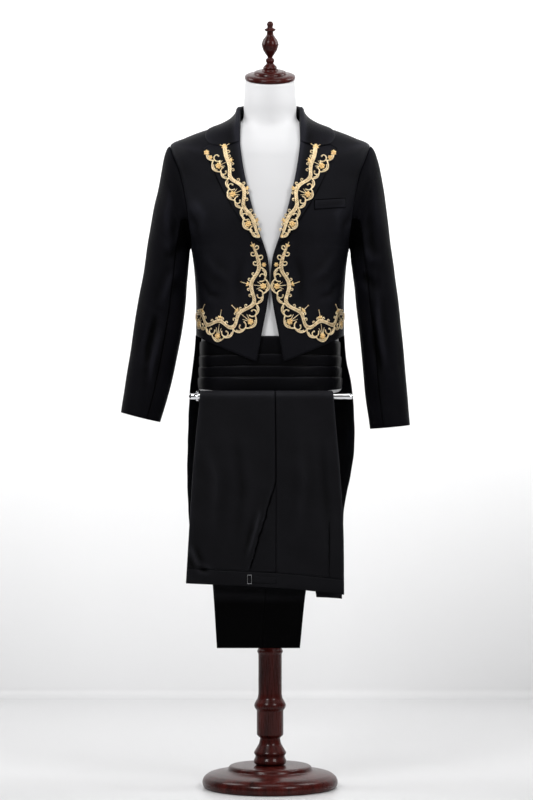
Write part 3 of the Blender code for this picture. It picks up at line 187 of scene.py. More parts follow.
@dataclass(frozen=True)
class RingSurface:
    """A body's surface through rings: angle 0 is the front, a quarter turn the side, half the back."""

    table: Table
    turn_step: float = 0.02
    level_step: float = 0.002

    def point(self, angle: Any, level: Any, side: Any = 1.0) -> Array:
        """Places on the surface.

        Args:
            angle: The turn around each ring.
            level: The ring's level.
            side: 1 for the wearer's left and -1 for the right.

        Returns:
            The places, in metres.
        """
        read = {name: self.table.read(level, name) for name in self.table.columns.split()[1:]}
        sine, cosine = np.sin(angle), np.cos(angle)
        power = 2 / read["squareness"]
        front = cosine > 0
        depth = np.where(front, read["front_y"], read["back_y"]) - read["side_y"]
        middle = np.where(front, level, read["back_z"])
        x = side * np.sign(sine) * np.abs(sine) ** power * read["half_width"]
        y = read["side_y"] + depth * np.abs(cosine) ** power
        return points(x, y, mix(middle, read["side_z"], sine * sine))

    def normal(self, angle: Any, level: Any, side: Any = 1.0) -> Array:
        """The outward direction at places on the surface.

        Args:
            angle: The turn around each ring.
            level: The ring's level.
            side: 1 for the wearer's left and -1 for the right.

        Returns:
            Directions of length one.
        """
        levels = self.table.column("level")
        ahead, behind = (self.point(angle + step, level, side) for step in (self.turn_step, -self.turn_step))
        higher = self.point(angle, np.minimum(np.add(level, self.level_step), levels[-1]), side)
        lower = self.point(angle, np.maximum(np.subtract(level, self.level_step), levels[0]), side)
        return unit(np.cross(ahead - behind, higher - lower)) * np.expand_dims(np.asarray(side, float), -1)

    def at(self, angle: Any, level: Any, side: Any = 1.0, height: Any = 0.0) -> Array:
        """Places moved out from the surface by a height."""
        return self.point(angle, level, side) + self.normal(angle, level, side) * np.expand_dims(
            np.asarray(height, float), -1)

    def angle_of(self, level: Any, x: Any) -> Array:
        """The angle in front of the side at which a ring has this x."""
        share = np.clip(np.asarray(x) / self.table.read(level, "half_width"), 0, 1)
        return np.arcsin(share ** (self.table.read(level, "squareness") / 2))

    def front(self, x: Any, z: Any) -> tuple[Array, Array]:
        """The angle and level of the front's place that shows at this x and z.

        Args:
            x: How far the place is from the middle.
            z: How high it is.

        Returns:
            Its angle and its level.
        """
        level = np.array(z, float)
        for _ in range(14):
            angle = self.angle_of(level, x)
            level = level + (z - self.point(angle, level)[..., 2]) * 0.8
        return angle, level


# ------------------------------------------------------------------ creases
@dataclass(frozen=True)
class Crease:
    """A soft ridge (or trough, below zero) along a line on a piece."""

    line: tuple[tuple[float, float], ...]
    height: float
    width: float

    def rise(self, a: Array, b: Array) -> Array:
        """How far the cloth stands out at places of the piece.

        Args:
            a: The places' first coordinate, as in the line.
            b: The places' second coordinate.

        Returns:
            The rise in metres, fading out to the line's ends.
        """
        corners = np.array(self.line, float)
        runs = np.linalg.norm(np.diff(corners, axis=0), axis=1)
        best, share, walked = np.full(np.shape(a), 1e9), np.zeros(np.shape(a)), 0.0
        for start, end, run in zip(corners, corners[1:], runs):
            ahead = (end - start) / run
            t = np.clip((a - start[0]) * ahead[0] + (b - start[1]) * ahead[1], 0, run)
            gap = np.hypot(a - start[0] - ahead[0] * t, b - start[1] - ahead[1] * t)
            share = np.where(gap < best, (walked + t) / runs.sum(), share)
            best, walked = np.minimum(best, gap), walked + run
        return self.height * np.exp(-((best / self.width) ** 2)) * np.sin(PI * np.clip(share, 0.04, 0.96))


def creased(creases: Sequence[Crease], a: Array, b: Array) -> Array:
    """The sum of several creases at places of a piece."""
    return sum((crease.rise(a, b) for crease in creases), np.zeros(np.shape(a)))


def drift(a: Array, b: Array, amount: float, scale: float, phase: float) -> Array:
    """A slow unevenness of hung cloth, from a few crossing waves.

    Args:
        a: First coordinate, in metres.
        b: Second coordinate, in metres.
        amount: The largest rise, in metres.
        scale: The length of the main wave, in metres.
        phase: Shifts the waves, so that no two pieces match.

    Returns:
        The rise at each place.
    """
    k = 2 * PI / scale
    waves = np.sin(k * (0.9 * a + 0.25 * b) + phase) * np.sin(k * (0.31 * b - 0.2 * a) + 2.1 * phase)
    waves = waves + 0.45 * np.sin(k * (1.9 * a - 0.4 * b) + 3.3 * phase)
    return amount * (waves + 0.3 * np.sin(k * (2.3 * b + 1.1 * a) + phase)) / 1.75


# ------------------------------------------------------------------ meshes
def new_object(name: str, bm: bmesh.types.BMesh, look: bpy.types.Material) -> bpy.types.Object:
    """Turn a finished bmesh into a smooth-shaded object at the origin.

    Args:
        name: The piece's name.
        bm: The mesh, which is freed.
        look: Its material.

    Returns:
        The piece.
    """
    mesh = bpy.data.meshes.new(name)
    bm.to_mesh(mesh)
    bm.free()
    mesh.shade_smooth()
    mesh.materials.append(look)
    piece = bpy.data.objects.new(name, mesh)
    bpy.context.scene.collection.objects.link(piece)
    return piece


def stand_out(places: Array, normal: Array, reach: float = 0.010) -> Array:
    """How much each place of a cloth is on a ridge (above 0) or in a hollow, for the painted highlight and
    shade of its material.

    Args:
        places: Rows by columns of places.
        normal: The outward direction at each place.
        reach: How far around a place the cloth is levelled to compare.

    Returns:
        Values from -1 to 1, with 0 on even cloth.
    """
    level = places
    for axis in (0, 1):
        step = float(np.median(np.linalg.norm(np.diff(places, axis=axis), axis=-1)))
        count = int(np.clip(round(reach / max(step, 1e-5)), 1, places.shape[axis] // 3))
        pad = [(count, count) if n == axis else (0, 0) for n in range(3)]
        padded = np.pad(level, pad, mode="reflect", reflect_type="odd")
        level = np.lib.stride_tricks.sliding_window_view(padded, 2 * count + 1, axis=axis).mean(axis=-1)
    rise = ((places - level) * normal).sum(axis=-1)
    return np.tanh((rise - np.median(rise)) / FOLD_DEPTH)


def lay_grid(bm: bmesh.types.BMesh, places: Array, size: tuple[float, float], flip: bool = False,
             fold_shades: Array | None = None) -> None:
    """Add a grid of cloth, put at its places, with a UV map in metres.

    Args:
        bm: The mesh to add to.
        places: Rows by columns of places in space.
        size: The cloth's width along the columns and length along the rows.
        flip: Turns the faces over.
        fold_shades: How much each place is on a ridge or in a hollow, kept for the material's painted
            highlight on ridges and painted shade in hollows.
    """
    rows, columns = places.shape[0] - 1, places.shape[1] - 1
    layer = None if fold_shades is None else bm.verts.layers.float.new("fold")
    grid = bmesh.ops.create_grid(bm, x_segments=columns, y_segments=rows, size=1)
    uv = bm.loops.layers.uv.verify()
    faces = {face for vertex in grid["verts"] for face in vertex.link_faces}
    for face in faces:
        for loop in face.loops:
            loop[uv].uv = ((loop.vert.co.x + 1) / 2 * size[0], (loop.vert.co.y + 1) / 2 * size[1])
    for vertex in grid["verts"]:
        column, row = round((vertex.co.x + 1) / 2 * columns), round((vertex.co.y + 1) / 2 * rows)
        vertex.co = places[row, column]
        if layer is not None:
            vertex[layer] = float(fold_shades[row, column])
    if flip:
        bmesh.ops.reverse_faces(bm, faces=list(faces))


def shell(name: str, places: Array, size: tuple[float, float], look: bpy.types.Material,
          thickness: float, away: Callable[[Array], Array]) -> bpy.types.Object:
    """One thin piece of cloth from its outer face.

    Args:
        name: The piece's name.
        places: Rows by columns of places on its outer face.
        size: Its width and length, in metres.
        look: Its material.
        thickness: The cloth's thickness, which goes inwards.
        away: Gives the outward direction at the middle of the grid.

    Returns:
        The piece, with its wall made by Solidify.
    """
    middle = tuple(n // 2 for n in places.shape[:2])
    here = places[middle]
    along_u = places[middle[0], middle[1] + 1] - places[middle[0], middle[1] - 1]
    along_v = places[middle[0] + 1, middle[1]] - places[middle[0] - 1, middle[1]]
    turned = bool(np.dot(np.cross(along_u, along_v), away(here)) < 0)
    normal = unit(np.cross(np.gradient(places, axis=1), np.gradient(places, axis=0)))
    normal = -normal if turned else normal
    bm = bmesh.new()
    # the ridge and hollow measure becomes painted highlight and painted shade in the cloth's colour
    lay_grid(bm, places, size, turned, stand_out(places, normal))
    piece = new_object(name, bm, look)
    wall = piece.modifiers.new("Cloth", "SOLIDIFY")
    wall.thickness, wall.offset, wall.use_even_offset = thickness, -1, False
    return piece


def add_cord(bm: bmesh.types.BMesh, line: Array, normal: Array, radius: Any, flat: float = 1.0,
             sides: int = 8) -> None:
    """Add a round or flattened cord with closed ends along a line.

    Args:
        bm: The mesh to add to.
        line: The places along its middle.
        normal: The direction out of the cloth at each place.
        radius: Its radius at each place, or one for all.
        flat: Its height as a share of its width.
        sides: The corners around it.
    """
    tip = 0.6
    line = np.asarray(line, float)
    radius = np.broadcast_to(np.asarray(radius, float), (len(line),))
    ahead = unit(np.gradient(line, axis=0))
    first, last = line[:1] - ahead[:1] * radius[0] * tip, line[-1:] + ahead[-1:] * radius[-1] * tip
    line = np.concatenate([first, first, line, last, last])
    radius = np.concatenate([[0.0], radius[:1] * tip, radius, radius[-1:] * tip, [0.0]])
    normal, ahead = (np.concatenate([way[:1], way[:1], way, way[-1:], way[-1:]]) for way in (normal, ahead))
    across = unit(np.cross(ahead, normal))
    up = unit(np.cross(across, ahead))
    turn = 2 * PI * np.arange(sides + 1)[:, None, None] / sides
    ring = across[None] * np.cos(turn) + up[None] * np.sin(turn) * flat
    places = line[None] + ring * radius[None, :, None]
    length = float(np.linalg.norm(np.diff(line, axis=0), axis=1).sum())
    lay_grid(bm, places, (length, 2 * PI * float(radius.max())), flip=True)


def add_ball(bm: bmesh.types.BMesh, place: Array, radius: float) -> None:
    """Add a small round bead."""
    there = Matrix.Translation(Vector([float(c) for c in place]))
    bmesh.ops.create_icosphere(bm, subdivisions=2, radius=radius, matrix=there)


def weld(bm: bmesh.types.BMesh) -> bmesh.types.BMesh:
    """Close seams and poles, and turn faces out.

    Args:
        bm: The mesh.

    Returns:
        The same mesh.
    """
    bmesh.ops.remove_doubles(bm, verts=bm.verts, dist=WELD_GAP)
    bmesh.ops.dissolve_degenerate(bm, edges=bm.edges, dist=0.000001)
    bmesh.ops.recalc_face_normals(bm, faces=bm.faces)
    return bm


def rounded(profile: Sequence[tuple[float, float]], radius: float) -> list[Vector]:
    """A profile with its corners eased.

    Args:
        profile: Radius and height of each corner, from the axis to the axis.
        radius: How far from a corner the easing starts.

    Returns:
        The profile's points.
    """
    corners = [Vector((r, 0, z)) for r, z in profile]
    eased = [corners[0]]
    for before, here, after in zip(corners, corners[1:], corners[2:]):
        into, out = before - here, after - here
        first = here + into * min(0.42, radius / max(into.length, 1e-9))
        last = here + out * min(0.42, radius / max(out.length, 1e-9))
        eased += [first, (first + last) / 4 + here / 2, last]
    return eased + [corners[-1]]


def spun(name: str, profile: Sequence[tuple[float, float]], look: bpy.types.Material, easing: float,
         place: Matrix = Matrix(), steps: int = 72) -> bpy.types.Object:
    """A piece turned on a lathe.

    Args:
        name: The piece's name.
        profile: Radius and height of each corner, from the axis to the axis.
        look: Its material.
        easing: How far its corners are rounded.
        place: Where the piece stands.
        steps: The corners around it.

    Returns:
        The piece, closed and facing out.
    """
    bm = bmesh.new()
    line = [bm.verts.new(point) for point in rounded(profile, easing)]
    edges = [bm.edges.new(pair) for pair in zip(line, line[1:])]
    bmesh.ops.spin(bm, geom=line + edges, cent=(0, 0, 0), axis=(0, 0, 1), angle=2 * PI,
                   steps=steps, use_merge=True, use_duplicate=False)
    weld(bm)
    bmesh.ops.transform(bm, matrix=place, verts=bm.verts)
    return new_object(name, bm, look)


def settle(piece: bpy.types.Object, slot: Slot, *nodes: str) -> bpy.types.Object:
    """Ride a piece on the body, and put it in place of the nodes it stands for.

    Args:
        piece: The piece.
        slot: Its slot in the record; not used.
        nodes: The nodes that it replaces.

    Returns:
        The piece.
    """
    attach(piece, "root")
    if nodes:
        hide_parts(*nodes)
    LOG.info("%s: %d faces, for %s", piece.name, len(piece.data.polygons), ", ".join(nodes) or "no node")
    return piece


def sew_shadow_line(name: str, low: Array, high: Array, radius: Any, flat: float, look: bpy.types.Material) -> None:
    """Lay a near-black cord along places on a cloth: a painted shadow line.

    Args:
        name: The piece's name.
        low: The places along the thread.
        high: The same places, further out of the cloth.
        radius: Half the thread's width at each place, or one for all.
        flat: Its height as a share of its width.
        look: Its material.
    """
    bm = bmesh.new()
    add_cord(bm, low, unit(high - low), radius, flat)
    settle(new_object(name, weld(bm), look), Slot.COAT)


# ------------------------------------------------------------------ shader maths
class Value:
    """A socket whose maths is written as Python expressions."""

    def __init__(self, shade: "Shade", socket: bpy.types.NodeSocket) -> None:
        """Keep the material and the socket."""
        self.shade, self.socket = shade, socket

    def _math(self, operation: str, first: Any, second: Any = 0.0) -> "Value":
        """Add one Math node."""
        return self.shade.add("ShaderNodeMath", {"operation": operation}, {0: first, 1: second})

    def __add__(self, other: Any) -> "Value":
        """Sum."""
        return self._math("ADD", self, other)

    __radd__ = __add__

    def __sub__(self, other: Any) -> "Value":
        """Difference."""
        return self._math("SUBTRACT", self, other)

    def __rsub__(self, other: Any) -> "Value":
        """Difference from a number."""
        return self._math("SUBTRACT", other, self)

    def __mul__(self, other: Any) -> "Value":
        """Product."""
        return self._math("MULTIPLY", self, other)

    def sine(self) -> "Value":
        """Sine."""
        return self._math("SINE", self)

    def clamp(self, low: float, high: float) -> "Value":
        """The value kept between two limits."""
        return self._math("MINIMUM", self._math("MAXIMUM", self, low), high)


class Shade:
    """A material, its nodes and its Principled shader."""

    def __init__(self, name: str, **constants: Any) -> None:
        """Start a material and set the sockets that are the same all over.

        Args:
            name: The material's name.
            constants: Socket values, with _ for a space in the name.
        """
        self.material = bpy.data.materials.new(name)
        self.material.use_nodes = True
        self.tree = self.material.node_tree
        self.shader = self.tree.nodes["Principled BSDF"]
        for key, value in constants.items():
            self.shader.inputs[key.replace("_", " ")].default_value = value

    def add(self, kind: str, settings: dict[str, Any] | None = None,
            inputs: dict[Any, Any] | None = None, output: Any = 0) -> Value:
        """Add any node.

        Args:
            kind: The node's type.
            settings: What is set on the node first. "stops" are a ramp's places and colours.
            inputs: Values or links of its sockets.
            output: The socket that comes out.

        Returns:
            The output, ready for an expression.
        """
        node = self.tree.nodes.new(kind)
        for key, value in (settings or {}).items():
            if key == "stops":
                for n, (place, colour) in enumerate(value):
                    stop = node.color_ramp.elements[n] if n < 2 else node.color_ramp.elements.new(place)
                    stop.position, stop.color = place, (*colour, 1)
            else:
                setattr(node, key, value)
        for key, value in (inputs or {}).items():
            if isinstance(value, Value):
                self.tree.links.new(value.socket, node.inputs[key])
            else:
                node.inputs[key].default_value = value
        return Value(self, node.outputs[output])

    def feed(self, socket: str, value: Value) -> None:
        """Link a value to one of the shader's sockets."""
        self.tree.links.new(value.socket, self.shader.inputs[socket])

    def coordinate(self, kind: str) -> Value:
        """Texture coordinates: Object or UV."""
        return self.add("ShaderNodeTexCoord", output=kind)

    def stretched(self, where: Value, scale: tuple[float, float, float], turn: float = 0.0) -> Value:
        """Coordinates scaled and turned by a Mapping node."""
        return self.add("ShaderNodeMapping", {}, {"Vector": where, "Scale": scale, "Rotation": (0, 0, turn)})

    def noise(self, where: Value, scale: float, detail: float = 3.0) -> Value:
        """Soft noise from 0 to 1."""
        return self.add("ShaderNodeTexNoise", {}, {"Vector": where, "Scale": scale, "Detail": detail})

    def part(self, where: Value, axis: str) -> Value:
        """One coordinate of a vector."""
        return self.add("ShaderNodeSeparateXYZ", {}, {0: where}, output=axis)

    def colours(self, value: Value, *stops: tuple[float, tuple[float, float, float]]) -> Value:
        """Colours along a value."""
        return self.add("ShaderNodeValToRGB", {"stops": stops}, {"Fac": value}, output="Color")

    def clear_behind(self) -> None:
        """Show nothing of the surface from its back, so that a wall hides no view."""
        back = self.add("ShaderNodeNewGeometry", output="Backfacing")
        clear = self.add("ShaderNodeBsdfTransparent")
        seen = self.add("ShaderNodeMixShader", {}, {"Fac": back, 2: clear})
        self.tree.links.new(self.shader.outputs["BSDF"], seen.socket.node.inputs[1])
        self.tree.links.new(seen.socket, self.tree.nodes["Material Output"].inputs["Surface"])

    def bump(self, height: Value, distance: float, strength: float = 1.0) -> None:
        """Raise the surface by a height of the given distance in metres."""
        value = self.add("ShaderNodeBump", {}, {"Height": height, "Distance": distance, "Strength": strength},
                         output="Normal")
        self.feed("Normal", value)


@dataclass(frozen=True)
class Cloth:
    """Woven black cloth: a fine twill with a soft bloom."""

    name: str
    dark: tuple[float, float, float]
    light: tuple[float, float, float]
    roughness: float
    sheen: float
    ribs: float = 1100.0
    turn: float = 1.05
    relief: float = 0.00022
    gloss: float = 0.045
    # height and side of painted shade; the default height of -1 leaves every place lit
    painted_shade_z: float = -1.0
    deep_side: float = 1.0
    fold_shade_show: float = 0.55
    hollow_share: float = 0.1
    ridge_share: float = 2.0

    def material(self) -> bpy.types.Material:
        """Build the material, on the piece's own UV map in metres, with painted highlight on ridges, painted
        shade in hollows, and painted shade past a set height.

        Returns:
            The material.
        """
        shade = Shade(self.name, Sheen_Weight=self.sheen, Sheen_Roughness=0.45,
                      Sheen_Tint=(0.62, 0.66, 0.80, 1), Specular_IOR_Level=self.gloss)
        cloth, solid = shade.coordinate("UV"), shade.coordinate("Object")
        twill = shade.stretched(cloth, (self.ribs, self.ribs, 1), self.turn)
        rib = (shade.part(twill, "X") * (2 * PI)).sine() * 0.5 + 0.5
        yarn = shade.noise(shade.stretched(cloth, (900, 2600, 1)), 1.0, 2.0)
        worn = shade.noise(solid, 9.0, 4.0)
        weave = rib * 0.6 + yarn * 0.4
        # painted shade past a set height: below it, or above it when the side is -1
        lit = ((shade.part(solid, "Z") - self.painted_shade_z) * (22.0 * self.deep_side) + 0.5).clamp(0.0, 1.0)
        # painted shade in the hollows and painted highlight on the ridges, read from the cloth's ridge and
        # hollow measure
        fold = shade.add("ShaderNodeAttribute", {"attribute_name": "fold"}, output="Fac")
        tone = ((worn * 0.6 + weave * 0.4 + fold * self.fold_shade_show) * (lit * 0.9 + 0.1)).clamp(0.0, 1.0)
        # near-black stop: painted shade in hollows; doubled light stop: painted highlight on ridges
        black = tuple(channel * self.hollow_share for channel in self.dark)
        ridge = tuple(channel * self.ridge_share for channel in self.light)
        stops = (0.06, black), (0.25, self.dark), (0.75, self.light), (1.0, ridge)
        shade.feed("Base Color", shade.colours(tone, *stops))
        shade.feed("Roughness", (worn * 0.14 + (self.roughness + 0.33) - lit * 0.4).clamp(0.1, 1.0))
        shade.bump(weave, self.relief, 0.55)
        return shade.material


@dataclass(frozen=True)
class Gold:
    """Metal thread, laid as twisted cord or close loops."""

    name: str
    deep: tuple[float, float, float]
    bright: tuple[float, float, float]
    roughness: float
    strands: float
    loops: float

    def material(self) -> bpy.types.Material:
        """Build the material: twisted strands along the cord, with painted shade in the grooves between
        strands and loops and painted highlight on their crests.

        Returns:
            The material.
        """
        shade = Shade(self.name, Metallic=0.82, Specular_IOR_Level=0.6)
        cord, solid = shade.coordinate("UV"), shade.coordinate("Object")
        twist = shade.part(cord, "X") * self.strands + shade.part(cord, "Y") * self.strands * 0.6
        strand = twist.sine() * 0.5 + 0.5
        knots = shade.add("ShaderNodeTexVoronoi", {}, {"Vector": solid, "Scale": self.loops},
                          output="Distance")
        patch = shade.noise(solid, 140.0, 3.0)
        thread = (strand * 0.5 + (1 - knots) * 0.5).clamp(0.0, 1.0)
        # the bump's grooves are darker and its crests brighter: painted shade and painted highlight; the
        # patches are random tone
        tone = (thread * 0.55 + patch * 0.6 - 0.08).clamp(0.0, 1.0)
        shade.feed("Base Color", shade.colours(tone, (0.22, self.deep), (0.62, self.bright)))
        shade.feed("Roughness", (self.roughness + patch * 0.16 - strand * 0.08).clamp(0.05, 1.0))
        shade.bump(thread, 0.0007, 0.8)
        return shade.material


@dataclass(frozen=True)
class Jersey:
    """White knitted cover of the form."""

    name: str = "white_jersey"
    white: tuple[float, float, float] = (0.70, 0.70, 0.71)

    def material(self) -> bpy.types.Material:
        """Build the knit from fine upright wales and a little fuzz.

        Returns:
            The material.
        """
        shade = Shade(self.name, Roughness=0.92, Sheen_Weight=0.25, Specular_IOR_Level=0.2)
        solid = shade.coordinate("Object")
        wale = (shade.part(solid, "X") * 2600.0).sine() * (shade.part(solid, "Z") * 2100.0).sine()
        fuzz = shade.noise(solid, 420.0, 4.0)
        worn = shade.noise(solid, 7.0, 3.0)
        cream = tuple(channel * 0.965 for channel in self.white)
        shade.feed("Base Color", shade.colours(worn, (0.3, cream), (0.7, self.white)))
        shade.bump(wale * 0.25 + fuzz * 0.5, 0.0004, 0.4)
        return shade.material


@dataclass(frozen=True)
class Lacquer:
    """Dark red-brown wood under a gloss coat."""

    name: str = "gloss_mahogany"
    dark: tuple[float, float, float] = (0.010, 0.0018, 0.0015)
    red: tuple[float, float, float] = (0.066, 0.0078, 0.0056)

    def material(self) -> bpy.types.Material:
        """Build the grain along the turned pieces and the coat over it.

        Returns:
            The material.
        """
        shade = Shade(self.name, Coat_Roughness=0.08, Specular_IOR_Level=0.12)
        solid = shade.coordinate("Object")
        grain = shade.noise(shade.stretched(solid, (60, 60, 5)), 1.0, 6.0)
        pores = shade.noise(shade.stretched(solid, (700, 700, 30)), 1.0, 2.0)
        cloud = shade.noise(solid, 6.0, 2.0)
        tone = (grain * 0.55 + pores * 0.2 + cloud * 0.35).clamp(0.0, 1.0)
        shade.feed("Base Color", shade.colours(tone, (0.38, self.dark), (0.72, self.red)))
        shade.feed("Roughness", (pores * 0.2 + 0.18).clamp(0.0, 1.0))
        shade.feed("Coat Weight", (0.17 - cloud * 0.06).clamp(0.0, 1.0))
        shade.bump(pores, 0.0003, 0.12)
        return shade.material


@dataclass(frozen=True)
class Chrome:
    """Polished plate with faint rubbing marks."""

    name: str = "polished_chrome"
    colour: tuple[float, float, float] = (0.86, 0.87, 0.89)

    def material(self) -> bpy.types.Material:
        """Build the plate and its marks.

        Returns:
            The material.
        """
        shade = Shade(self.name, Metallic=1.0)
        solid = shade.coordinate("Object")
        marks = shade.noise(shade.stretched(solid, (25, 900, 900)), 1.0, 3.0)
        cloud = shade.noise(solid, 18.0, 2.0)
        dull = tuple(channel * 0.82 for channel in self.colour)
        shade.feed("Base Color", shade.colours(cloud, (0.2, dull), (0.6, self.colour)))
        shade.feed("Roughness", (marks * 0.12 + 0.07).clamp(0.0, 1.0))
        shade.bump(marks, 0.00005, 0.3)
        return shade.material


def made(finish: Any) -> Any:
    """A wardrobe's entry, filled with the finish's material."""
    return field(default_factory=finish.material)


@dataclass
class Wardrobe:
    """Every finish of the suit and the form, made once."""

    coat: bpy.types.Material = made(Cloth(
        "black_barathea", (0.0034, 0.0034, 0.0046), (0.0070, 0.0071, 0.0096), roughness=0.50, sheen=0.006))
    lapel: bpy.types.Material = made(Cloth(
        "lapel_barathea", (0.0036, 0.0036, 0.0050), (0.0076, 0.0077, 0.0104), roughness=0.46, sheen=0.006))
    # painted shade on the lower legs, below the given height
    trousers: bpy.types.Material = made(Cloth(
        "black_worsted", (0.0036, 0.0036, 0.0044), (0.0074, 0.0074, 0.0090), roughness=0.52, sheen=0.006,
        ribs=1300.0, painted_shade_z=0.4450, fold_shade_show=0.50))
    # the coat's cloth made darker for the sleeves: painted shade
    sleeve: bpy.types.Material = made(Cloth(
        "sleeve_barathea", (0.0018, 0.0018, 0.0025), (0.0042, 0.0042, 0.0058), roughness=0.54, sheen=0.0,
        gloss=0.022, fold_shade_show=0.62))
    # darker copy of the coat's cloth with painted shade above the given height: the under sleeve's shade
    # beside the body
    armpit: bpy.types.Material = made(Cloth(
        "under_sleeve_barathea", (0.0018, 0.0018, 0.0025), (0.0042, 0.0042, 0.0058), roughness=0.54,
        sheen=0.0, gloss=0.022, painted_shade_z=1.195, deep_side=-1.0, fold_shade_show=0.62))
    satin: bpy.types.Material = made(Cloth(
        "black_satin", (0.0016, 0.0016, 0.0021), (0.0036, 0.0036, 0.0047), roughness=0.40, sheen=0.0,
        ribs=700.0, turn=PI / 2, relief=0.00012, gloss=0.05))
    # near-black cord for painted shadow lines: the lapel edges, the breast pocket's outline, and the
    # trousers' side seams, pocket mouths and slit
    edge: bpy.types.Material = made(Cloth(
        "black_silk_thread", (0.0002, 0.0002, 0.0003), (0.0008, 0.0008, 0.0011), roughness=0.75, sheen=0.0,
        ribs=2400.0, turn=0.6, relief=0.0001, gloss=0.01))
    cord: bpy.types.Material = made(Gold(
        "pale_gold_cord", (0.50, 0.32, 0.13), (1.00, 0.84, 0.56), roughness=0.30, strands=2600.0,
        loops=900.0))
    braid: bpy.types.Material = made(Gold(
        "antique_gold_braid", (0.24, 0.15, 0.06), (0.86, 0.68, 0.42), roughness=0.36, strands=1700.0,
        loops=620.0))
    rosette: bpy.types.Material = made(Gold(
        "warm_gold_thread", (0.46, 0.24, 0.06), (1.00, 0.74, 0.36), roughness=0.30, strands=3000.0,
        loops=1000.0))
    jersey: bpy.types.Material = made(Jersey())
    wood: bpy.types.Material = made(Lacquer())
    chrome: bpy.types.Material = made(Chrome())


# ------------------------------------------------------------------ the dress form
@dataclass
class DressForm:
    """The torso, its turned stand and head, and the bar for the trousers."""

    wardrobe: Wardrobe
    rings: RingSurface = RingSurface(Table(RING_COLUMNS, (
        (0.800, 0.800, 0.800, 0.1450, -0.0950, 0.090, 0.000, 2.30),
        (0.825, 0.825, 0.825, 0.1555, -0.1020, 0.097, 0.000, 2.30),
        (0.881, 0.881, 0.881, 0.1600, -0.1060, 0.100, 0.000, 2.30),
        (0.950, 0.950, 0.950, 0.1575, -0.1060, 0.099, 0.000, 2.30),
        (1.020, 1.020, 1.020, 0.1540, -0.1065, 0.096, 0.000, 2.30),
        (1.100, 1.100, 1.100, 0.1560, -0.1085, 0.094, 0.000, 2.30),
        (1.200, 1.200, 1.200, 0.1670, -0.1150, 0.104, 0.000, 2.25),
        (1.280, 1.284, 1.284, 0.1740, -0.1160, 0.112, 0.000, 2.20),
        (1.340, 1.350, 1.358, 0.1810, -0.1090, 0.109, 0.002, 2.15),
        (1.385, 1.405, 1.410, 0.1880, -0.1000, 0.102, 0.004, 2.10),
        (1.408, 1.438, 1.440, 0.1900, -0.0940, 0.096, 0.005, 2.10),
        (1.4235, 1.4585, 1.459, 0.1840, -0.0900, 0.090, 0.005, 2.10),
        (1.447, 1.4745, 1.4795, 0.1490, -0.0800, 0.083, 0.006, 2.10),
        (1.4705, 1.4862, 1.4985, 0.1080, -0.0670, 0.075, 0.008, 2.05),
        (1.4860, 1.4930, 1.508, 0.0740, -0.0600, 0.068, 0.006, 2.00),
        (1.5030, 1.5045, 1.516, 0.0605, -0.0585, 0.0625, 0.001, 2.00),
        (1.5350, 1.5350, 1.5350, 0.0592, -0.0592, 0.0592, 0.000, 2.00),
        (1.5700, 1.5700, 1.5700, 0.0570, -0.0570, 0.0570, 0.000, 2.00),
        (1.5920, 1.5920, 1.5920, 0.0555, -0.0555, 0.0555, 0.000, 2.00),
    )))
    end_z: float = 0.893
    end_narrowing: float = 0.17
    tilt: float = math.radians(17)
    tilt_start: float = 1.55
    neck_top: float = 1.592
    bar_radius: float = 0.0065
    bar_y: float = -0.130
    bar_z: float = 0.881
    bar_end_x: float = 0.187
    arm_x: float = -0.1735
    bend_radius: float = 0.016
    flange_radius: float = 0.014

    def build(self) -> None:
        """Make every piece of the form."""
        self.torso()
        self.stand()
        self.head()
        self.bar()

    def torso(self) -> None:
        """The jersey-covered torso and neck, closed above and below."""
        low = self.rings.table.column("level")[0]
        levels = np.linspace(low, self.neck_top, 150)[:, None]
        turns = np.linspace(-PI, PI, 129)[None, :]
        places = self.rings.point(np.abs(turns), levels, np.where(turns < 0, -1.0, 1.0))
        up = np.clip((levels - self.tilt_start) / (self.neck_top - self.tilt_start), 0, 1)
        places[..., 2] += places[..., 1] * (up * math.tan(self.tilt))
        places[..., 0] *= 1 - self.end_narrowing * ramp(self.end_z - levels, 0.0, 0.009)
        bm = bmesh.new()
        lay_grid(bm, places, (1.0, 0.8))
        bmesh.ops.remove_doubles(bm, verts=bm.verts, dist=WELD_GAP)
        bmesh.ops.holes_fill(bm, edges=[edge for edge in bm.edges if edge.is_boundary], sides=0)
        caps = [face for face in bm.faces if len(face.verts) > 4]
        rims = [edge for face in caps for edge in face.edges]
        bmesh.ops.bevel(bm, geom=rims, offset=0.006, offset_type="OFFSET", affect="EDGES", segments=3,
                        profile=0.5, material=-1, clamp_overlap=True)
        weld(bm)
        piece = new_object("form_torso_cover", bm, self.wardrobe.jersey)
        settle(piece, Slot.JERSEY, "form_torso")

    def stand(self) -> None:
        """The round base and the turned pole."""
        base = spun("stand_base", (
            (0.0, 0.0500), (0.0600, 0.0500), (0.0895, 0.0495), (0.0935, 0.0455), (0.0955, 0.0385),
            (0.118, 0.0355), (0.139, 0.0310), (0.1495, 0.0230), (0.1530, 0.0135), (0.1515, 0.0050),
            (0.1480, 0.0), (0.0, 0.0)), self.wardrobe.wood, 0.004, steps=128)
        settle(base, Slot.WOOD, "form_base")
        pole = spun("stand_pole", (
            (0.0, 0.7997), (0.0264, 0.7997), (0.0264, 0.3120), (0.0290, 0.3085), (0.0290, 0.3045),
            (0.0264, 0.3010), (0.0264, 0.2100), (0.0280, 0.2010), (0.0345, 0.1900), (0.0360, 0.1840),
            (0.0340, 0.1780), (0.0300, 0.1735), (0.0300, 0.1180), (0.0222, 0.1110), (0.0250, 0.0980),
            (0.0340, 0.0830), (0.0370, 0.0775), (0.0330, 0.0720), (0.0330, 0.0680), (0.0370, 0.0600),
            (0.0360, 0.0540), (0.0300, 0.0503), (0.0, 0.0503)), self.wardrobe.wood, 0.0022)
        settle(pole, Slot.WOOD, "form_pole")

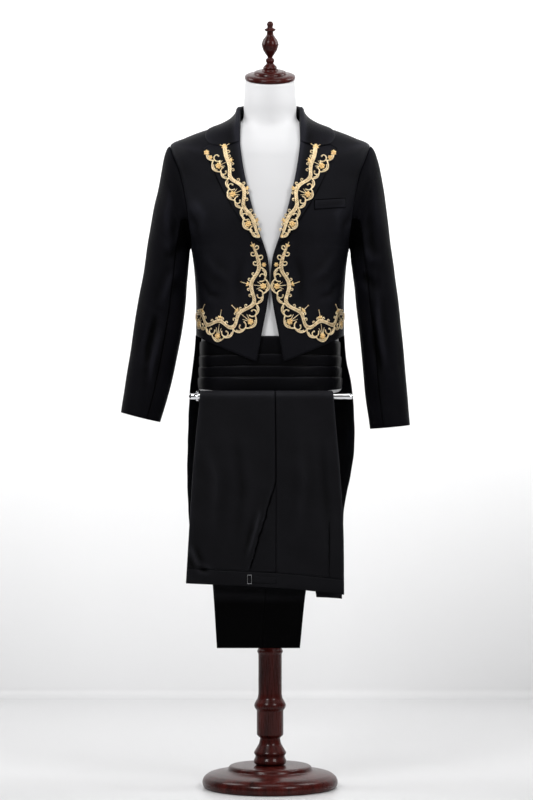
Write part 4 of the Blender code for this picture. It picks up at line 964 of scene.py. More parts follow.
    def head(self) -> None:
        """The neck cap and the finial, which lean towards the front."""
        lean = Matrix.Translation((0, 0, self.neck_top + REST)) @ Matrix.Rotation(self.tilt, 4, "X")
        cap = spun("neck_cap_lacquered", (
            (0.0, 0.0250), (0.0150, 0.0250), (0.0180, 0.0235), (0.0185, 0.0200), (0.0290, 0.0195),
            (0.0360, 0.0175), (0.0375, 0.0130), (0.0480, 0.0120), (0.0555, 0.0095), (0.0575, 0.0055),
            (0.0565, 0.0010), (0.0550, 0.0), (0.0, 0.0)), self.wardrobe.wood, 0.0016, lean)
        settle(cap, Slot.WOOD, "neck_cap")
        finial = spun("finial_lacquered", (
            (0.0, 0.1070), (0.0045, 0.1060), (0.0079, 0.1005), (0.0060, 0.0945), (0.0065, 0.0915),
            (0.0128, 0.0890), (0.0128, 0.0865), (0.0070, 0.0835), (0.0080, 0.0760), (0.0165, 0.0640),
            (0.0195, 0.0550), (0.0160, 0.0420), (0.0070, 0.0280), (0.0050, 0.0250), (0.0100, 0.0205),
            (0.0100, 0.0160), (0.0070, 0.0120), (0.0120, 0.0070), (0.0155, 0.0035), (0.0155, 0.0003),
            (0.0, 0.0003)), self.wardrobe.wood, 0.0018, lean @ Matrix.Translation((0, 0, 0.025)))
        settle(finial, Slot.WOOD, "finial")

    def bar(self) -> None:
        """The chrome bar with its bend and arm, and the plate on the form's side."""
        corner = Vector((self.arm_x, self.bar_y))
        turns = np.linspace(0, PI / 2, 13)
        r = self.bend_radius
        bend = points(corner.x + r - r * np.sin(turns), corner.y + r - r * np.cos(turns), self.bar_z)
        rail = points(np.linspace(self.bar_end_x, corner.x + r + 0.004, 46), self.bar_y, self.bar_z)
        arm = points(self.arm_x, np.linspace(corner.y + r + 0.004, self.bar_radius * 0.4, 14), self.bar_z)
        line = np.concatenate([rail, bend, arm])
        radius = np.full(len(line), self.bar_radius)
        radius[:2] = self.bar_radius * 0.9
        radius[3] = self.bar_radius * 0.93
        up = np.tile([0.0, 0.0, 1.0], (len(line), 1))
        bm = bmesh.new()
        add_cord(bm, line[1:], up[1:], radius[1:], sides=24)
        settle(new_object("chrome_trouser_bar", weld(bm), self.wardrobe.chrome), Slot.CHROME, "trouser_bar")
        inner = self.rings.point(PI / 2, self.bar_z, -1.0)[0] - REST
        outer = self.arm_x + self.bar_radius + REST
        deep, wide = inner - outer, self.flange_radius
        on_side = Matrix.Translation((inner, 0, self.bar_z)) @ Matrix.Rotation(-PI / 2, 4, "Y")
        plate = spun("bar_flange_plate", (
            (0.0, deep), (wide * 0.86, deep), (wide, deep * 0.55), (wide, 0.0), (0.0, 0.0)),
            self.wardrobe.chrome, 0.0009, on_side, 48)
        settle(plate, Slot.CHROME, "bar_flange")


# ------------------------------------------------------------------ the tailcoat
@dataclass
class CoatBody:
    """The coat's body: fronts, backs and tails, with the tables that every other piece lies on."""

    wardrobe: Wardrobe
    rings: RingSurface = RingSurface(Table(RING_COLUMNS, (
        (0.940, 0.940, 0.940, 0.1665, -0.1185, 0.107, 0.000, 2.30),
        (1.020, 1.020, 1.020, 0.1665, -0.1190, 0.104, 0.000, 2.30),
        (1.120, 1.120, 1.120, 0.1675, -0.1195, 0.100, 0.000, 2.30),
        (1.212, 1.212, 1.212, 0.1775, -0.1240, 0.112, 0.000, 2.25),
        (1.260, 1.262, 1.264, 0.1965, -0.1250, 0.118, 0.000, 2.20),
        (1.306, 1.318, 1.320, 0.2080, -0.1225, 0.121, 0.000, 2.20),
        (1.350, 1.378, 1.376, 0.2170, -0.1150, 0.117, 0.002, 2.15),
        (1.400, 1.443, 1.440, 0.2245, -0.1030, 0.104, 0.004, 2.10),
        (1.425, 1.4615, 1.462, 0.1900, -0.0960, 0.094, 0.005, 2.10),
        (1.447, 1.477, 1.482, 0.1500, -0.0880, 0.086, 0.006, 2.10),
        (1.472, 1.489, 1.503, 0.1100, -0.0830, 0.080, 0.008, 2.05),
        (1.490, 1.502, 1.517, 0.0860, -0.0770, 0.076, 0.009, 2.00),
        (1.505, 1.517, 1.532, 0.0730, -0.0690, 0.074, 0.010, 2.00),
        (1.518, 1.532, 1.548, 0.0675, -0.0560, 0.072, 0.010, 2.00),
    )))
    front_edge: Table = Table("z x", (
        (0.940, 0.0335), (0.958, 0.0300), (1.025, 0.0175), (1.080, 0.0070), (1.130, 0.0014),
        (1.183, 0.0045), (1.215, 0.0135), (1.240, 0.0220), (1.302, 0.0395), (1.382, 0.0575),
        (1.447, 0.0660), (1.520, 0.0675)))
    hem: Table = Table("x z", (
        (0.000, 0.956), (0.030, 0.958), (0.066, 0.972), (0.105, 0.988), (0.140, 1.003), (0.168, 1.018)))
    tails: Table = Table("z left_x right_x back_y angle inner_left inner_right", (
        (1.030, 0.1665, 0.1665, 0.104, 90.6, 0.0003, 0.0003),
        (0.967, 0.1715, 0.1715, 0.111, 91.5, 0.0003, 0.0003),
        (0.900, 0.1845, 0.1800, 0.122, 93.0, 0.0040, 0.0040),
        (0.830, 0.1905, 0.1850, 0.130, 95.0, 0.0140, 0.0120),
        (0.760, 0.1900, 0.1870, 0.130, 98.0, 0.0290, 0.0240),
        (0.700, 0.1820, 0.1875, 0.126, 101.0, 0.0440, 0.0370),
        (0.620, 0.1675, 0.1850, 0.118, 105.0, 0.0660, 0.0560),
        (0.520, 0.1640, 0.1790, 0.110, 109.0, 0.0900, 0.0800),
        (0.418, 0.1630, 0.1740, 0.104, 112.0, 0.1070, 0.1000)))
    waist_side: float = 1.018
    waist_back: float = 1.004
    armhole_reach: float = math.radians(27)
    roll_tuck: float = 0.0036
    break_z: float = 1.222
    tail_squareness: float = 2.25
    tail_end_left: float = 0.421
    tail_end_right: float = 0.482
    front_creases: tuple[Crease, ...] = (
        Crease(((0.150, 1.205), (0.120, 1.160), (0.085, 1.135)), 0.0024, 0.011),
        Crease(((0.160, 1.150), (0.135, 1.110), (0.105, 1.100)), -0.0022, 0.009),
        Crease(((0.175, 1.330), (0.150, 1.285), (0.145, 1.235)), 0.0026, 0.012),
        Crease(((0.186, 1.300), (0.165, 1.262), (0.160, 1.222)), -0.0024, 0.008),
        Crease(((0.060, 1.200), (0.070, 1.140), (0.066, 1.075)), -0.0016, 0.012),
    )
    back_creases: tuple[Crease, ...] = (
        Crease(((0.185, 1.300), (0.130, 1.240), (0.075, 1.220)), -0.0022, 0.014),
        Crease(((0.175, 1.350), (0.110, 1.300), (0.050, 1.285)), 0.0015, 0.016),
        Crease(((0.165, 1.120), (0.110, 1.085), (0.030, 1.075)), -0.0024, 0.013),
        Crease(((0.160, 1.085), (0.100, 1.055), (0.025, 1.050)), 0.0018, 0.012),
        Crease(((0.090, 1.400), (0.085, 1.300), (0.095, 1.180)), 0.0012, 0.020),
    )
    tail_creases: tuple[Crease, ...] = (
        Crease(((0.150, 0.990), (0.140, 0.800), (0.150, 0.560)), 0.0034, 0.016),
        Crease(((0.110, 0.985), (0.100, 0.780), (0.125, 0.520)), -0.0032, 0.015),
        Crease(((0.060, 0.980), (0.070, 0.820), (0.100, 0.640)), 0.0028, 0.014),
        Crease(((0.165, 0.900), (0.170, 0.760), (0.155, 0.620)), -0.0022, 0.011),
    )

    def build(self) -> None:
        """Make the fronts, the backs and the tails."""
        for side in Side:
            self.front(side)
            self.back(side)
            self.tail(side)

    def armhole_level(self, turn: Any) -> Array:
        """The level on the armhole, for a turn from the shoulder tip down to the armpit."""
        return (ARMPIT_LEVEL + TIP_LEVEL) / 2 + (TIP_LEVEL - ARMPIT_LEVEL) / 2 * np.cos(turn)

    def armhole_angle(self, turn: Any) -> Array:
        """The angle of the armhole's edge, in front of the side for turns up to half a turn."""
        return PI / 2 - self.armhole_reach * np.sign(np.sin(turn)) * np.abs(np.sin(turn)) ** 0.85

    def row_level(self, v: Array, hem: Array) -> Array:
        """The level of a row: even below the armpit, around the armhole, and up to the neckline.

        Args:
            v: The row's share of the way up.
            hem: The level of the lower edge.

        Returns:
            The row's level.
        """
        below = mix(hem, ARMPIT_LEVEL, v / 0.5)
        above = mix(TIP_LEVEL, NECKLINE_LEVEL, (v - 0.75) / 0.25)
        beside = self.armhole_level(PI * (1 - (v - 0.5) / 0.25))
        return np.where(v < 0.5, below, np.where(v <= 0.75, beside, above))

    def outer_angle(self, v: Array, level: Array, back: bool) -> Array:
        """The angle of a panel's outer boundary: its side seam, armhole or shoulder seam.

        Args:
            v: The row's share of the way up.
            level: The row's level.
            back: The panel is behind the seam.

        Returns:
            The angle.
        """
        depth = self.rings.table.read(level, "side_y") - self.rings.table.read(level, "front_y")
        gap = np.arcsin(np.clip((SEAM / 2 / depth) ** (self.rings.table.read(level, "squareness") / 2), 0, 1))
        cut = PI / 2 - self.armhole_angle(PI * (1 - (v - 0.5) / 0.25))
        reach = np.where((v > 0.5) & (v < 0.75), cut, gap)
        return PI / 2 + reach if back else PI / 2 - reach

    def rows(self) -> Array:
        """The rows of a front or back, close enough for its creases."""
        return np.concatenate([np.linspace(0, 0.5, 44)[:-1], np.linspace(0.5, 0.75, 41)[:-1],
                               np.linspace(0.75, 1, 26)])[:, None]

    def front_relief(self, x: Any, z: Any, side: float) -> Array:
        """How far the creases of a front stand out where it shows at this x and z.

        Args:
            x: Places across.
            z: Places up.
            side: 1 for the wearer's left and -1 for the right.

        Returns:
            The rise in metres.
        """
        x, z = np.abs(np.asarray(x, float)), np.asarray(z, float)
        rise = creased(self.front_creases, x, z)
        quiet = ramp(x, 0.02, 0.06) * (1 - 0.5 * ramp(z, 1.36, 1.46))
        return (rise + drift(x, z, 0.0006, 0.15, 1.3 + side)) * quiet

    def front(self, side: Side) -> None:
        """A front, from its edge and roll line to the side seam, armhole and shoulder.

        Args:
            side: The wearer's side.
        """
        u, v = np.broadcast_arrays(np.linspace(0, 1, 46)[None, :], self.rows())
        hem = np.full(u.shape, 0.99)
        for _ in range(4):
            level = self.row_level(v, hem)
            tuck = self.roll_tuck * np.clip((level - self.break_z) / 0.02, 0, 1)
            edge = self.rings.angle_of(level, self.front_edge.read(level, "x") + tuck)
            outer = self.outer_angle(v, level, back=False)
            angle = mix(np.minimum(edge, outer - 0.02), outer, u)
            hem = self.hem.read(self.rings.point(angle, level)[..., 0], "z")
        flat = self.rings.point(angle, level)
        relief = self.front_relief(flat[..., 0], flat[..., 2], side.value) * ramp(1 - u, 0, 0.08)
        places = self.rings.at(angle, level, side.value, relief)
        piece = shell(f"coat_front_{side.label}", places, (0.24, 0.56), self.wardrobe.coat, COAT_CLOTH,
                      from_axis)
        settle(piece, Slot.COAT, f"front_{side.label}")

    def back(self, side: Side) -> None:
        """A back, from the side seam to the centre seam.

        Args:
            side: The wearer's side.
        """
        u, v = np.broadcast_arrays(np.linspace(0, 1, 46)[None, :], self.rows())
        hem = np.full(u.shape, 1.01)
        for _ in range(4):
            level = self.row_level(v, hem)
            centre = PI - self.rings.angle_of(level, SEAM / 2)
            angle = mix(self.outer_angle(v, level, back=True), centre, u)
            hem = mix(self.waist_back, self.waist_side, np.sin(angle) ** 2)
        flat = self.rings.point(angle, level)
        rise = creased(self.back_creases, flat[..., 0], flat[..., 2])
        rise = rise + drift(flat[..., 0], flat[..., 2], 0.0007, 0.14, 2.2 + side.value)
        rise = rise * ramp(u, 0, 0.06) * ramp(1 - u, 0, 0.06) * ramp(v, 0, 0.06) * ramp(1 - v, 0, 0.2)
        places = self.rings.at(angle, level, side.value, rise)
        piece = shell(f"coat_back_{side.label}", places, (0.24, 0.52), self.wardrobe.coat, COAT_CLOTH,
                      from_axis)
        settle(piece, Slot.COAT, f"back_{side.label}")

    def tail(self, side: Side) -> None:
        """A tail, from the waist seam down, cut away to a narrow end.

        Args:
            side: The wearer's side.
        """
        outer, inner = f"{side.label}_x", f"inner_{side.label}"
        end_z = self.tail_end_left if side is Side.LEFT else self.tail_end_right
        u, v = shares(40, 100)
        power = 2 / self.tail_squareness
        top = np.full(u.shape, self.waist_side)

        def ring(angle: Array, z: Array, half_width: Array, back_y: Array) -> Array:
            """Places around a tail's own ring.

            Args:
                angle: The turn around it.
                z: Its height.
                half_width: Half its width.
                back_y: How far back it reaches.

            Returns:
                The places, in metres.
            """
            sine, cosine = np.sin(angle), np.cos(angle)
            depth = np.where(cosine > 0, -0.1, back_y)
            x = side.value * half_width * np.sign(sine) * np.abs(sine) ** power
            return points(x, depth * np.abs(cosine) ** power, z)

        for _ in range(5):
            z = mix(top - SEAM, end_z, v)
            start = np.radians(self.tails.read(z, "angle"))
            half_width = self.tails.read(z, outer) / np.sin(start) ** 0.9
            back_y = self.tails.read(z, "back_y")
            end = PI - np.arcsin(np.clip(self.tails.read(z, inner) / half_width, 0, 1) ** (1 / power))
            angle = mix(start, end, u)
            top = mix(self.waist_back, self.waist_side, np.sin(angle) ** 2)
        places = ring(angle, z, half_width, back_y)
        around = ring(angle + 0.03, z, half_width, back_y) - ring(angle - 0.03, z, half_width, back_y)
        normal = unit(np.cross(around, np.array([0.0, 0.0, 1.0]))) * side.value
        x = np.abs(places[..., 0])
        rise = creased(self.tail_creases, x, z) + drift(x, z, 0.0014, 0.13, 0.7 + 1.9 * side.value)
        rise = rise * ramp(v, 0, 0.12)
        piece = shell(f"coat_tail_{side.label}", places + normal * rise[..., None], (0.17, 0.58),
                      self.wardrobe.coat, COAT_CLOTH, from_axis)
        settle(piece, Slot.COAT, f"tail_{side.label}")


@dataclass
class Lapels:
    """The peak lapels and the collar, which roll over and lie on the coat."""

    wardrobe: Wardrobe
    body: CoatBody
    edge: Table = Table("z x", (
        (1.216, 0.0150), (1.232, 0.0380), (1.288, 0.0760), (1.340, 0.1060), (1.390, 0.1285), (1.431, 0.1475)))
    gorge_line: tuple[tuple[float, float], ...] = (
        (0.0665, 1.4440), (0.1080, 1.4345), (0.1330, 1.4395), (0.1475, 1.4310))
    corner: tuple[float, float] = (0.1320, 1.4390)
    collar_edge_level: float = 1.472
    collar_side_x: float = 0.0675
    clear: float = 0.0009
    roll_height: float = 0.0030
    roll_reach: float = 0.014
    turned_in: float = 0.0030
    foot_width: float = 0.014
    edge_sunk: float = 0.0007
    roll_steps: tuple[float, ...] = (0, 0.35, 0.7, 1.0)
    roll_in: tuple[float, ...] = (0.0014, 0.0002, 0.0004, 0.0030)
    roll_up: tuple[float, ...] = (-0.0004, 0.0016, 0.0044, 0.0053)
    collar_clear: float = 0.0010
    collar_lift: float = 0.0018
    stand_depth: float = 0.020
    edge_thread: float = 0.0009

    def build(self) -> None:
        """Make both lapels and the collar."""
        for side in Side:
            self.lapel(side)
            self.edge_shadow_line(side)
        self.collar()

    @property
    def top_share(self) -> float:
        """The share of the way up at which a lapel stops, a seam's half below the gorge."""
        return 1 - (SEAM / 2) / (self.gorge_line[0][1] - self.body.break_z)

    def fall_height(self, distance: Any) -> Array:
        """The height of the fall's outer face over the coat, by the distance from the roll."""
        near = np.exp(-((np.asarray(distance) / self.roll_reach) ** 2))
        return self.clear + COAT_CLOTH + self.roll_height * near

    def gorge(self, share: Any) -> tuple[Array, Array]:
        """The seam between collar and lapel, from the roll line to the lapel's point.

        Args:
            share: The share of the way out.

        Returns:
            The x and z of the place.
        """
        line = np.array(self.gorge_line)
        x = mix(line[0, 0], line[-1, 0], np.asarray(share, float))
        return x, np.interp(x, line[:, 0], line[:, 1])

    def outline(self, share: Any, up: Any) -> tuple[Array, Array]:
        """A place on the lapel seen from the front: share from the roll line to its outer edge.

        Args:
            share: The share from the roll line to the outer edge.
            up: The share of the way up.

        Returns:
            The x and z of the place.
        """
        top = self.gorge_line[0][1]
        z_roll = mix(self.body.break_z, top, up)
        z_edge = mix(self.edge.column("z")[0], self.edge.column("z")[-1], up)
        x = mix(self.body.front_edge.read(z_roll, "x"), self.edge.read(z_edge, "x"), share)
        z = mix(z_roll, z_edge, share)
        top_x, top_z = self.gorge(share)
        dip = np.clip((up - 0.75) / 0.25, 0, 1) ** 2
        x = x + (top_x - mix(self.gorge_line[0][0], self.edge.column("x")[-1], share)) * dip
        return x, z + (top_z - mix(top, self.gorge_line[-1][1], share)) * dip

    def lapel(self, side: Side) -> None:
        """A lapel: its edge turned under at the roll, over the roll, and out to its point.

        Args:
            side: The wearer's side.
        """
        u = np.concatenate([np.linspace(0, 1, 9), 1 + np.linspace(0, 1, 34)[1:]])[None, :]
        u, up = np.broadcast_arrays(u, np.linspace(0, self.top_share, 80)[:, None])
        first, last = self.outline(0.0, up), self.outline(1.0, up)
        width = np.maximum(np.hypot(last[0] - first[0], last[1] - first[1]), 0.001)
        turn = np.clip(u, 0, 1)
        curl_in = np.interp(turn, self.roll_steps, self.roll_in)
        curl_up = np.interp(turn, self.roll_steps, self.roll_up)
        rolled = self.turned_in / width
        flat_share = rolled + (1 - rolled) * np.clip(u - 1, 0, 1)
        inward = np.where(u <= 1, curl_in * np.minimum(1, width / self.foot_width), flat_share * width)
        x, z = self.outline(np.minimum(inward / width, 1), up)
        height = np.where(u <= 1, curl_up, self.fall_height(inward))
        soft = ramp(np.clip(u - 1, 0, 1), 0, 0.5) * 0.0009 * np.sin(9.0 * up + side.value)
        soft = soft * ramp(up, 0.05, 0.3)
        angle, level = self.body.rings.front(x, z)
        places = self.body.rings.at(angle, level, side.value, height + np.maximum(soft, -0.0002))
        piece = shell(f"peak_lapel_{side.label}", places, (0.085, 0.24), self.wardrobe.lapel, COAT_CLOTH,
                      forward)
        settle(piece, Slot.COAT, f"lapel_{side.label}")

    def edge_shadow_line(self, side: Side) -> None:
        """A near-black cord along a lapel's outer edge, from the roll's foot to the point: a painted shadow
        line under the edge.

        Args:
            side: The wearer's side.
        """
        up = np.concatenate([np.linspace(0.02, self.top_share, 60), np.full(30, self.top_share)])
        share = np.concatenate([np.ones(60), np.linspace(1, 0.22, 31)[1:]])
        x, z = self.outline(share, up)
        angle, level = self.body.rings.front(x, z)
        height = self.fall_height(np.abs(x - self.body.front_edge.read(z, "x")))
        low, high = (self.body.rings.at(angle, level, side.value, height - sunk)
                     for sunk in (self.edge_sunk, 0.0))
        sew_shadow_line(f"lapel_edge_{side.label}", low, high, self.edge_thread, 1.3, self.wardrobe.edge)

    def fold(self, turn: Array) -> tuple[Array, Array]:
        """Angle and level of the collar's fold, from 0 at the centre back to 1 at the gorge.

        Args:
            turn: The share of the way round.

        Returns:
            The angle and the level.
        """
        down = np.clip((turn - 0.5) / 0.5, 0, 1)
        end = self.body.rings.front(*self.gorge(0.0))[1]
        level = mix(COLLAR_TOP_LEVEL, end, down)
        front = self.body.rings.angle_of(level, mix(self.collar_side_x, self.gorge_line[0][0], down))
        behind = turn <= 0.5
        return np.where(behind, mix(PI, PI / 2, turn / 0.5), front), np.where(behind, COLLAR_TOP_LEVEL, level)

    def fall_edge(self, turn: Array) -> tuple[Array, Array]:
        """Angle and level of the outer edge of the collar's fall.

        Args:
            turn: The share of the way round.

        Returns:
            The angle and the level.
        """
        down = np.clip((turn - 0.5) / 0.5, 0, 1)
        angle, level = self.body.rings.front(*self.corner)
        around = np.where(turn <= 0.5, mix(PI, PI / 2, turn / 0.5), mix(PI / 2, angle, down**1.2))
        return around, mix(self.collar_edge_level, level, down)

    def collar(self) -> None:
        """The collar: its stand inside the neck, the fold, and the fall over the coat."""
        signed = np.concatenate([-np.linspace(0, 1, 60)[::-1], np.linspace(0, 1, 60)[1:]])[:, None]
        profile = np.concatenate([np.linspace(0, 3, 13), 3 + np.linspace(0, 1, 28)[1:]])[None, :]
        signed, profile = np.broadcast_arrays(signed, profile)
        side, turn = np.where(signed >= 0, 1.0, -1.0), np.abs(signed)
        rings = self.body.rings
        fold, edge = self.fold(turn), self.fall_edge(turn)
        top = rings.at(*fold, side)
        inward = unit((top - rings.at(*fold, side, 0.001)) * [1, 1, 0])
        stand = mix(self.stand_depth, 0.003, np.clip((turn - 0.55) / 0.45, 0, 1) ** 0.7)
        column = np.clip(profile, 0, 2.999)
        down = np.interp(column, [0, 1, 2], [0, 0.004, 0.0005])
        down = np.where(column < 1, mix(stand, 0.004, column), down)
        down = np.where(turn > 0.5, np.minimum(down, 0.004 + stand * 0.5), down)
        lean = np.interp(column, [0, 1, 2], [0.0022, 0.0014, 0.0004])
        up_side = top + inward * lean[..., None] - points(0, 0, down)
        over = rings.at(*fold, side, 0.0022) + points(0, 0, np.full(turn.shape, 0.0012))
        share = np.clip(profile - 3, 0, 1)
        blend = np.clip(column - 2, 0, 1)[..., None]
        up_side = mix(up_side, over, blend)
        angle, level = mix(fold[0], edge[0], share), mix(fold[1], edge[1], share)
        lead = np.clip((turn - 0.8) / 0.2, 0, 1) ** 1.5
        reach = (self.corner[0] - self.gorge_line[0][0]) / (self.gorge_line[-1][0] - self.gorge_line[0][0])
        x, z = self.gorge(share * reach)
        one = np.ones(turn.shape)
        end_fold, end_edge = self.fold(one), self.fall_edge(one)
        cut = rings.front(x, z + SEAM)
        angle = angle + (cut[0] - mix(end_fold[0], end_edge[0], share)) * lead
        level = level + (cut[1] - mix(end_fold[1], end_edge[1], share)) * lead
        width = np.linalg.norm(top - rings.at(*edge, side), axis=-1)
        lift = self.collar_clear * np.minimum((1 - turn) / 0.3, 1)
        lift = lift + self.collar_lift * np.sin(PI * share) ** 0.5
        fall = rings.at(angle, level, side, lift + self.fall_height(share * width))
        near = ramp(share, 0.0, 0.12)[..., None]
        places = np.where((profile > 3)[..., None], mix(over, fall, near), up_side)
        piece = shell("coat_collar", places, (0.09, 0.46), self.wardrobe.coat, COAT_CLOTH * 0.8,
                      lambda here: np.array([0, 1.0, 0.2]))
        settle(piece, Slot.COAT, "collar")


@dataclass
class Sleeves:
    """Two-piece sleeves, set in the armholes and empty down to their open cuffs."""

    wardrobe: Wardrobe
    body: CoatBody
    columns: str = "row outer_x outer_z inner_x inner_z half_depth centre_y"
    left: tuple[tuple[float, ...], ...] = (
        (1, 0.2335, 1.4370, 0.1796, 1.2085, 0.0530, 0.000),
        (2, 0.2440, 1.4050, 0.1802, 1.2050, 0.0560, 0.000),
        (3, 0.2530, 1.3600, 0.1808, 1.1990, 0.0580, -0.001),
        (4, 0.2605, 1.3100, 0.1816, 1.1880, 0.0590, -0.002),
        (5, 0.2700, 1.2325, 0.1840, 1.1680, 0.0585, -0.004),
        (6, 0.2800, 1.1600, 0.1880, 1.1330, 0.0570, -0.007),
        (7, 0.2895, 1.0850, 0.1940, 1.0700, 0.0545, -0.012),
        (8, 0.2985, 0.9950, 0.2040, 0.9830, 0.0520, -0.020),
        (9, 0.3065, 0.9000, 0.2125, 0.8900, 0.0495, -0.031),
        (10, 0.3130, 0.8165, 0.2235, 0.8080, 0.0470, -0.042))
    right: tuple[tuple[float, ...], ...] = (
        (1, 0.2330, 1.4370, 0.1796, 1.2085, 0.0530, 0.000),
        (2, 0.2415, 1.4010, 0.1802, 1.2050, 0.0560, 0.000),
        (3, 0.2505, 1.3510, 0.1808, 1.1990, 0.0580, -0.001),
        (4, 0.2610, 1.3060, 0.1816, 1.1880, 0.0590, -0.002),
        (5, 0.2735, 1.2325, 0.1838, 1.1640, 0.0585, -0.004),
        (6, 0.2850, 1.1500, 0.1870, 1.1250, 0.0570, -0.007),
        (7, 0.2985, 1.0800, 0.1925, 1.0610, 0.0545, -0.012),
        (8, 0.3120, 0.9900, 0.2085, 0.9680, 0.0520, -0.020),
        (9, 0.3245, 0.9100, 0.2265, 0.8870, 0.0495, -0.031),
        (10, 0.3335, 0.8450, 0.2455, 0.8230, 0.0470, -0.042))
    seam_step: int = 5
    hole_gap: float = 0.0006
    seam_turn: float = 0.006
    head_fullness: float = 0.0050
    turn_reach: float = 0.05
    row_reach: float = 0.06
    creases_left: tuple[Crease, ...] = (
        Crease(((0.95, 1.9), (1.05, 3.6), (0.90, 5.2)), 0.0032, 0.34),
        Crease(((1.55, 2.6), (1.45, 4.0), (1.60, 5.4)), -0.0026, 0.28),
        Crease(((2.10, 4.2), (1.60, 5.2), (1.05, 5.6)), 0.0030, 0.22),
        Crease(((2.30, 5.6), (1.70, 6.2), (1.20, 6.3)), -0.0034, 0.24),
        Crease(((1.50, 6.3), (1.65, 7.4), (1.45, 8.6)), 0.0030, 0.20),
        Crease(((1.85, 7.0), (1.95, 7.9), (1.70, 8.7)), -0.0030, 0.18),
        Crease(((0.55, 7.2), (0.70, 8.4), (0.60, 9.4)), -0.0016, 0.26),
        Crease(((-1.2, 2.2), (-1.0, 3.8), (-1.3, 5.4)), 0.0028, 0.34),
        Crease(((-1.9, 5.0), (-1.2, 5.8), (-0.5, 6.0)), -0.0032, 0.26),
        Crease(((-1.8, 6.4), (-1.3, 7.2), (-1.5, 8.6)), 0.0026, 0.24),
    )
    creases_right: tuple[Crease, ...] = (
        Crease(((1.25, 1.7), (1.20, 3.2), (1.35, 4.6)), 0.0034, 0.30),
        Crease(((1.75, 2.4), (1.65, 3.6), (1.85, 4.8)), -0.0030, 0.26),
        Crease(((2.25, 3.8), (1.75, 4.9), (1.30, 5.3)), -0.0026, 0.20),
        Crease(((2.20, 5.2), (1.80, 5.9), (1.50, 7.0)), 0.0034, 0.22),
        Crease(((1.45, 7.0), (1.30, 7.9), (1.40, 8.4)), -0.0032, 0.18),
        Crease(((1.75, 7.3), (1.60, 8.3), (1.70, 9.0)), 0.0026, 0.16),
        Crease(((0.65, 5.0), (0.55, 6.6), (0.65, 8.4)), -0.0014, 0.30),
        Crease(((-1.1, 2.0), (-1.3, 3.6), (-1.1, 5.0)), 0.0026, 0.32),
        Crease(((-1.8, 4.6), (-1.1, 5.5), (-0.4, 5.7)), -0.0034, 0.24),
        Crease(((-2.0, 6.1), (-1.4, 6.9), (-1.2, 8.4)), 0.0024, 0.26),
    )

    def build(self) -> None:
        """Make the top and the under piece of each sleeve."""
        step = PI / 8
        for side in Side:
            self.piece(side, "sleeve_top", -self.seam_step * step, self.seam_step * step, 58)
            self.piece(side, "sleeve_under", self.seam_step * step, (16 - self.seam_step) * step, 36)

    def place(self, side: Side, turn: Array, row: Array, rise: Array) -> Array:
        """Places on a sleeve: row 0 is the seam in the armhole, and row 10 is the cuff.

        Args:
            side: Whose sleeve.
            turn: The turn around it from its outer side, over the front.
            row: The row of the table, or a share between two.
            rise: How far a crease stands out.

        Returns:
            The places, in metres.
        """
        table = Table(self.columns, self.left if side is Side.LEFT else self.right)
        sine, cosine = np.sin(turn)[..., None], np.cos(turn)[..., None]

        def around(at_row: Array) -> tuple[Array, Array]:
            """Places on the ring of a row, and the outward direction there.

            Args:
                at_row: The row at each place.

            Returns:
                The places, and their outward directions.
            """
            ring = {name: table.read(at_row, name) for name in self.columns.split()[1:]}
            outer = points(side.value * ring["outer_x"], ring["centre_y"], ring["outer_z"])
            inner = points(side.value * ring["inner_x"], ring["centre_y"], ring["inner_z"])
            half = (outer - inner) / 2
            on = (outer + inner) / 2 + half * cosine - points(0, ring["half_depth"], 0) * sine
            return on, unit(half) * cosine - np.array([0.0, 1.0, 0.0]) * sine

        spot, out = around(np.maximum(row, 1.0))
        body = self.body
        seam = body.rings.point(body.armhole_angle(turn), body.armhole_level(turn), side.value)
        middle = body.rings.point(PI / 2, (ARMPIT_LEVEL + TIP_LEVEL) / 2, side.value)
        seam = seam + unit(middle - seam) * self.hole_gap + np.array([side.value * self.hole_gap, 0, 0])
        full = np.clip(np.cos(turn) + 0.4, 0, 1)[..., None]
        corner, corner_out = around(np.ones(row.shape))
        second = around(np.full(row.shape, 2.0))[0]
        corner = corner + corner_out * full * self.head_fullness
        early = np.clip(row / 2, 0, 1)[..., None]
        head = mix(mix(seam, corner, early), mix(corner, second, early), early)
        return np.where(row[..., None] < 2, head, spot) + out * (rise * np.clip(row, 0, 1))[..., None]

    def piece(self, side: Side, name: str, start: float, end: float, columns: int) -> None:
        """One piece of a sleeve, between two turns around it.

        Args:
            side: The wearer's side.
            name: The word for the piece.
            start: The turn where it starts.
            end: The turn where it ends.
            columns: Its places around.
        """
        turn = np.linspace(start + self.seam_turn, end - self.seam_turn, columns)[None, :]
        row = np.concatenate([np.linspace(0, 1, 8)[:-1], np.linspace(1, 10, 122)])[:, None]
        turn, row = np.broadcast_arrays(turn, row)
        creases = self.creases_left if side is Side.LEFT else self.creases_right
        wrapped = np.where(turn > PI, turn - 2 * PI, turn)
        slow = drift(turn * self.turn_reach, row * self.row_reach, 0.0011, 0.16, side.value * 1.7)
        rise = creased(creases, wrapped, row) + slow
        rise = rise * (1 - 0.6 * ramp(row, 9.2, 10))
        places = self.place(side, turn, row, rise)
        axis = self.place(side, turn + PI, row, rise)
        middle = tuple(n // 2 for n in places.shape[:2])
        outward = places[middle] - axis[middle]
        share = (end - start) / (2 * PI)
        # under pieces take the cloth with painted shade, top pieces the darker sleeve cloth
        look = self.wardrobe.armpit if "under" in name else self.wardrobe.sleeve
        piece = shell(f"{name}_{side.label}_cloth", places, (0.36 * share, 0.62), look, COAT_CLOTH,
                      lambda here: outward)
        settle(piece, Slot.COAT, f"{name}_{side.label}")


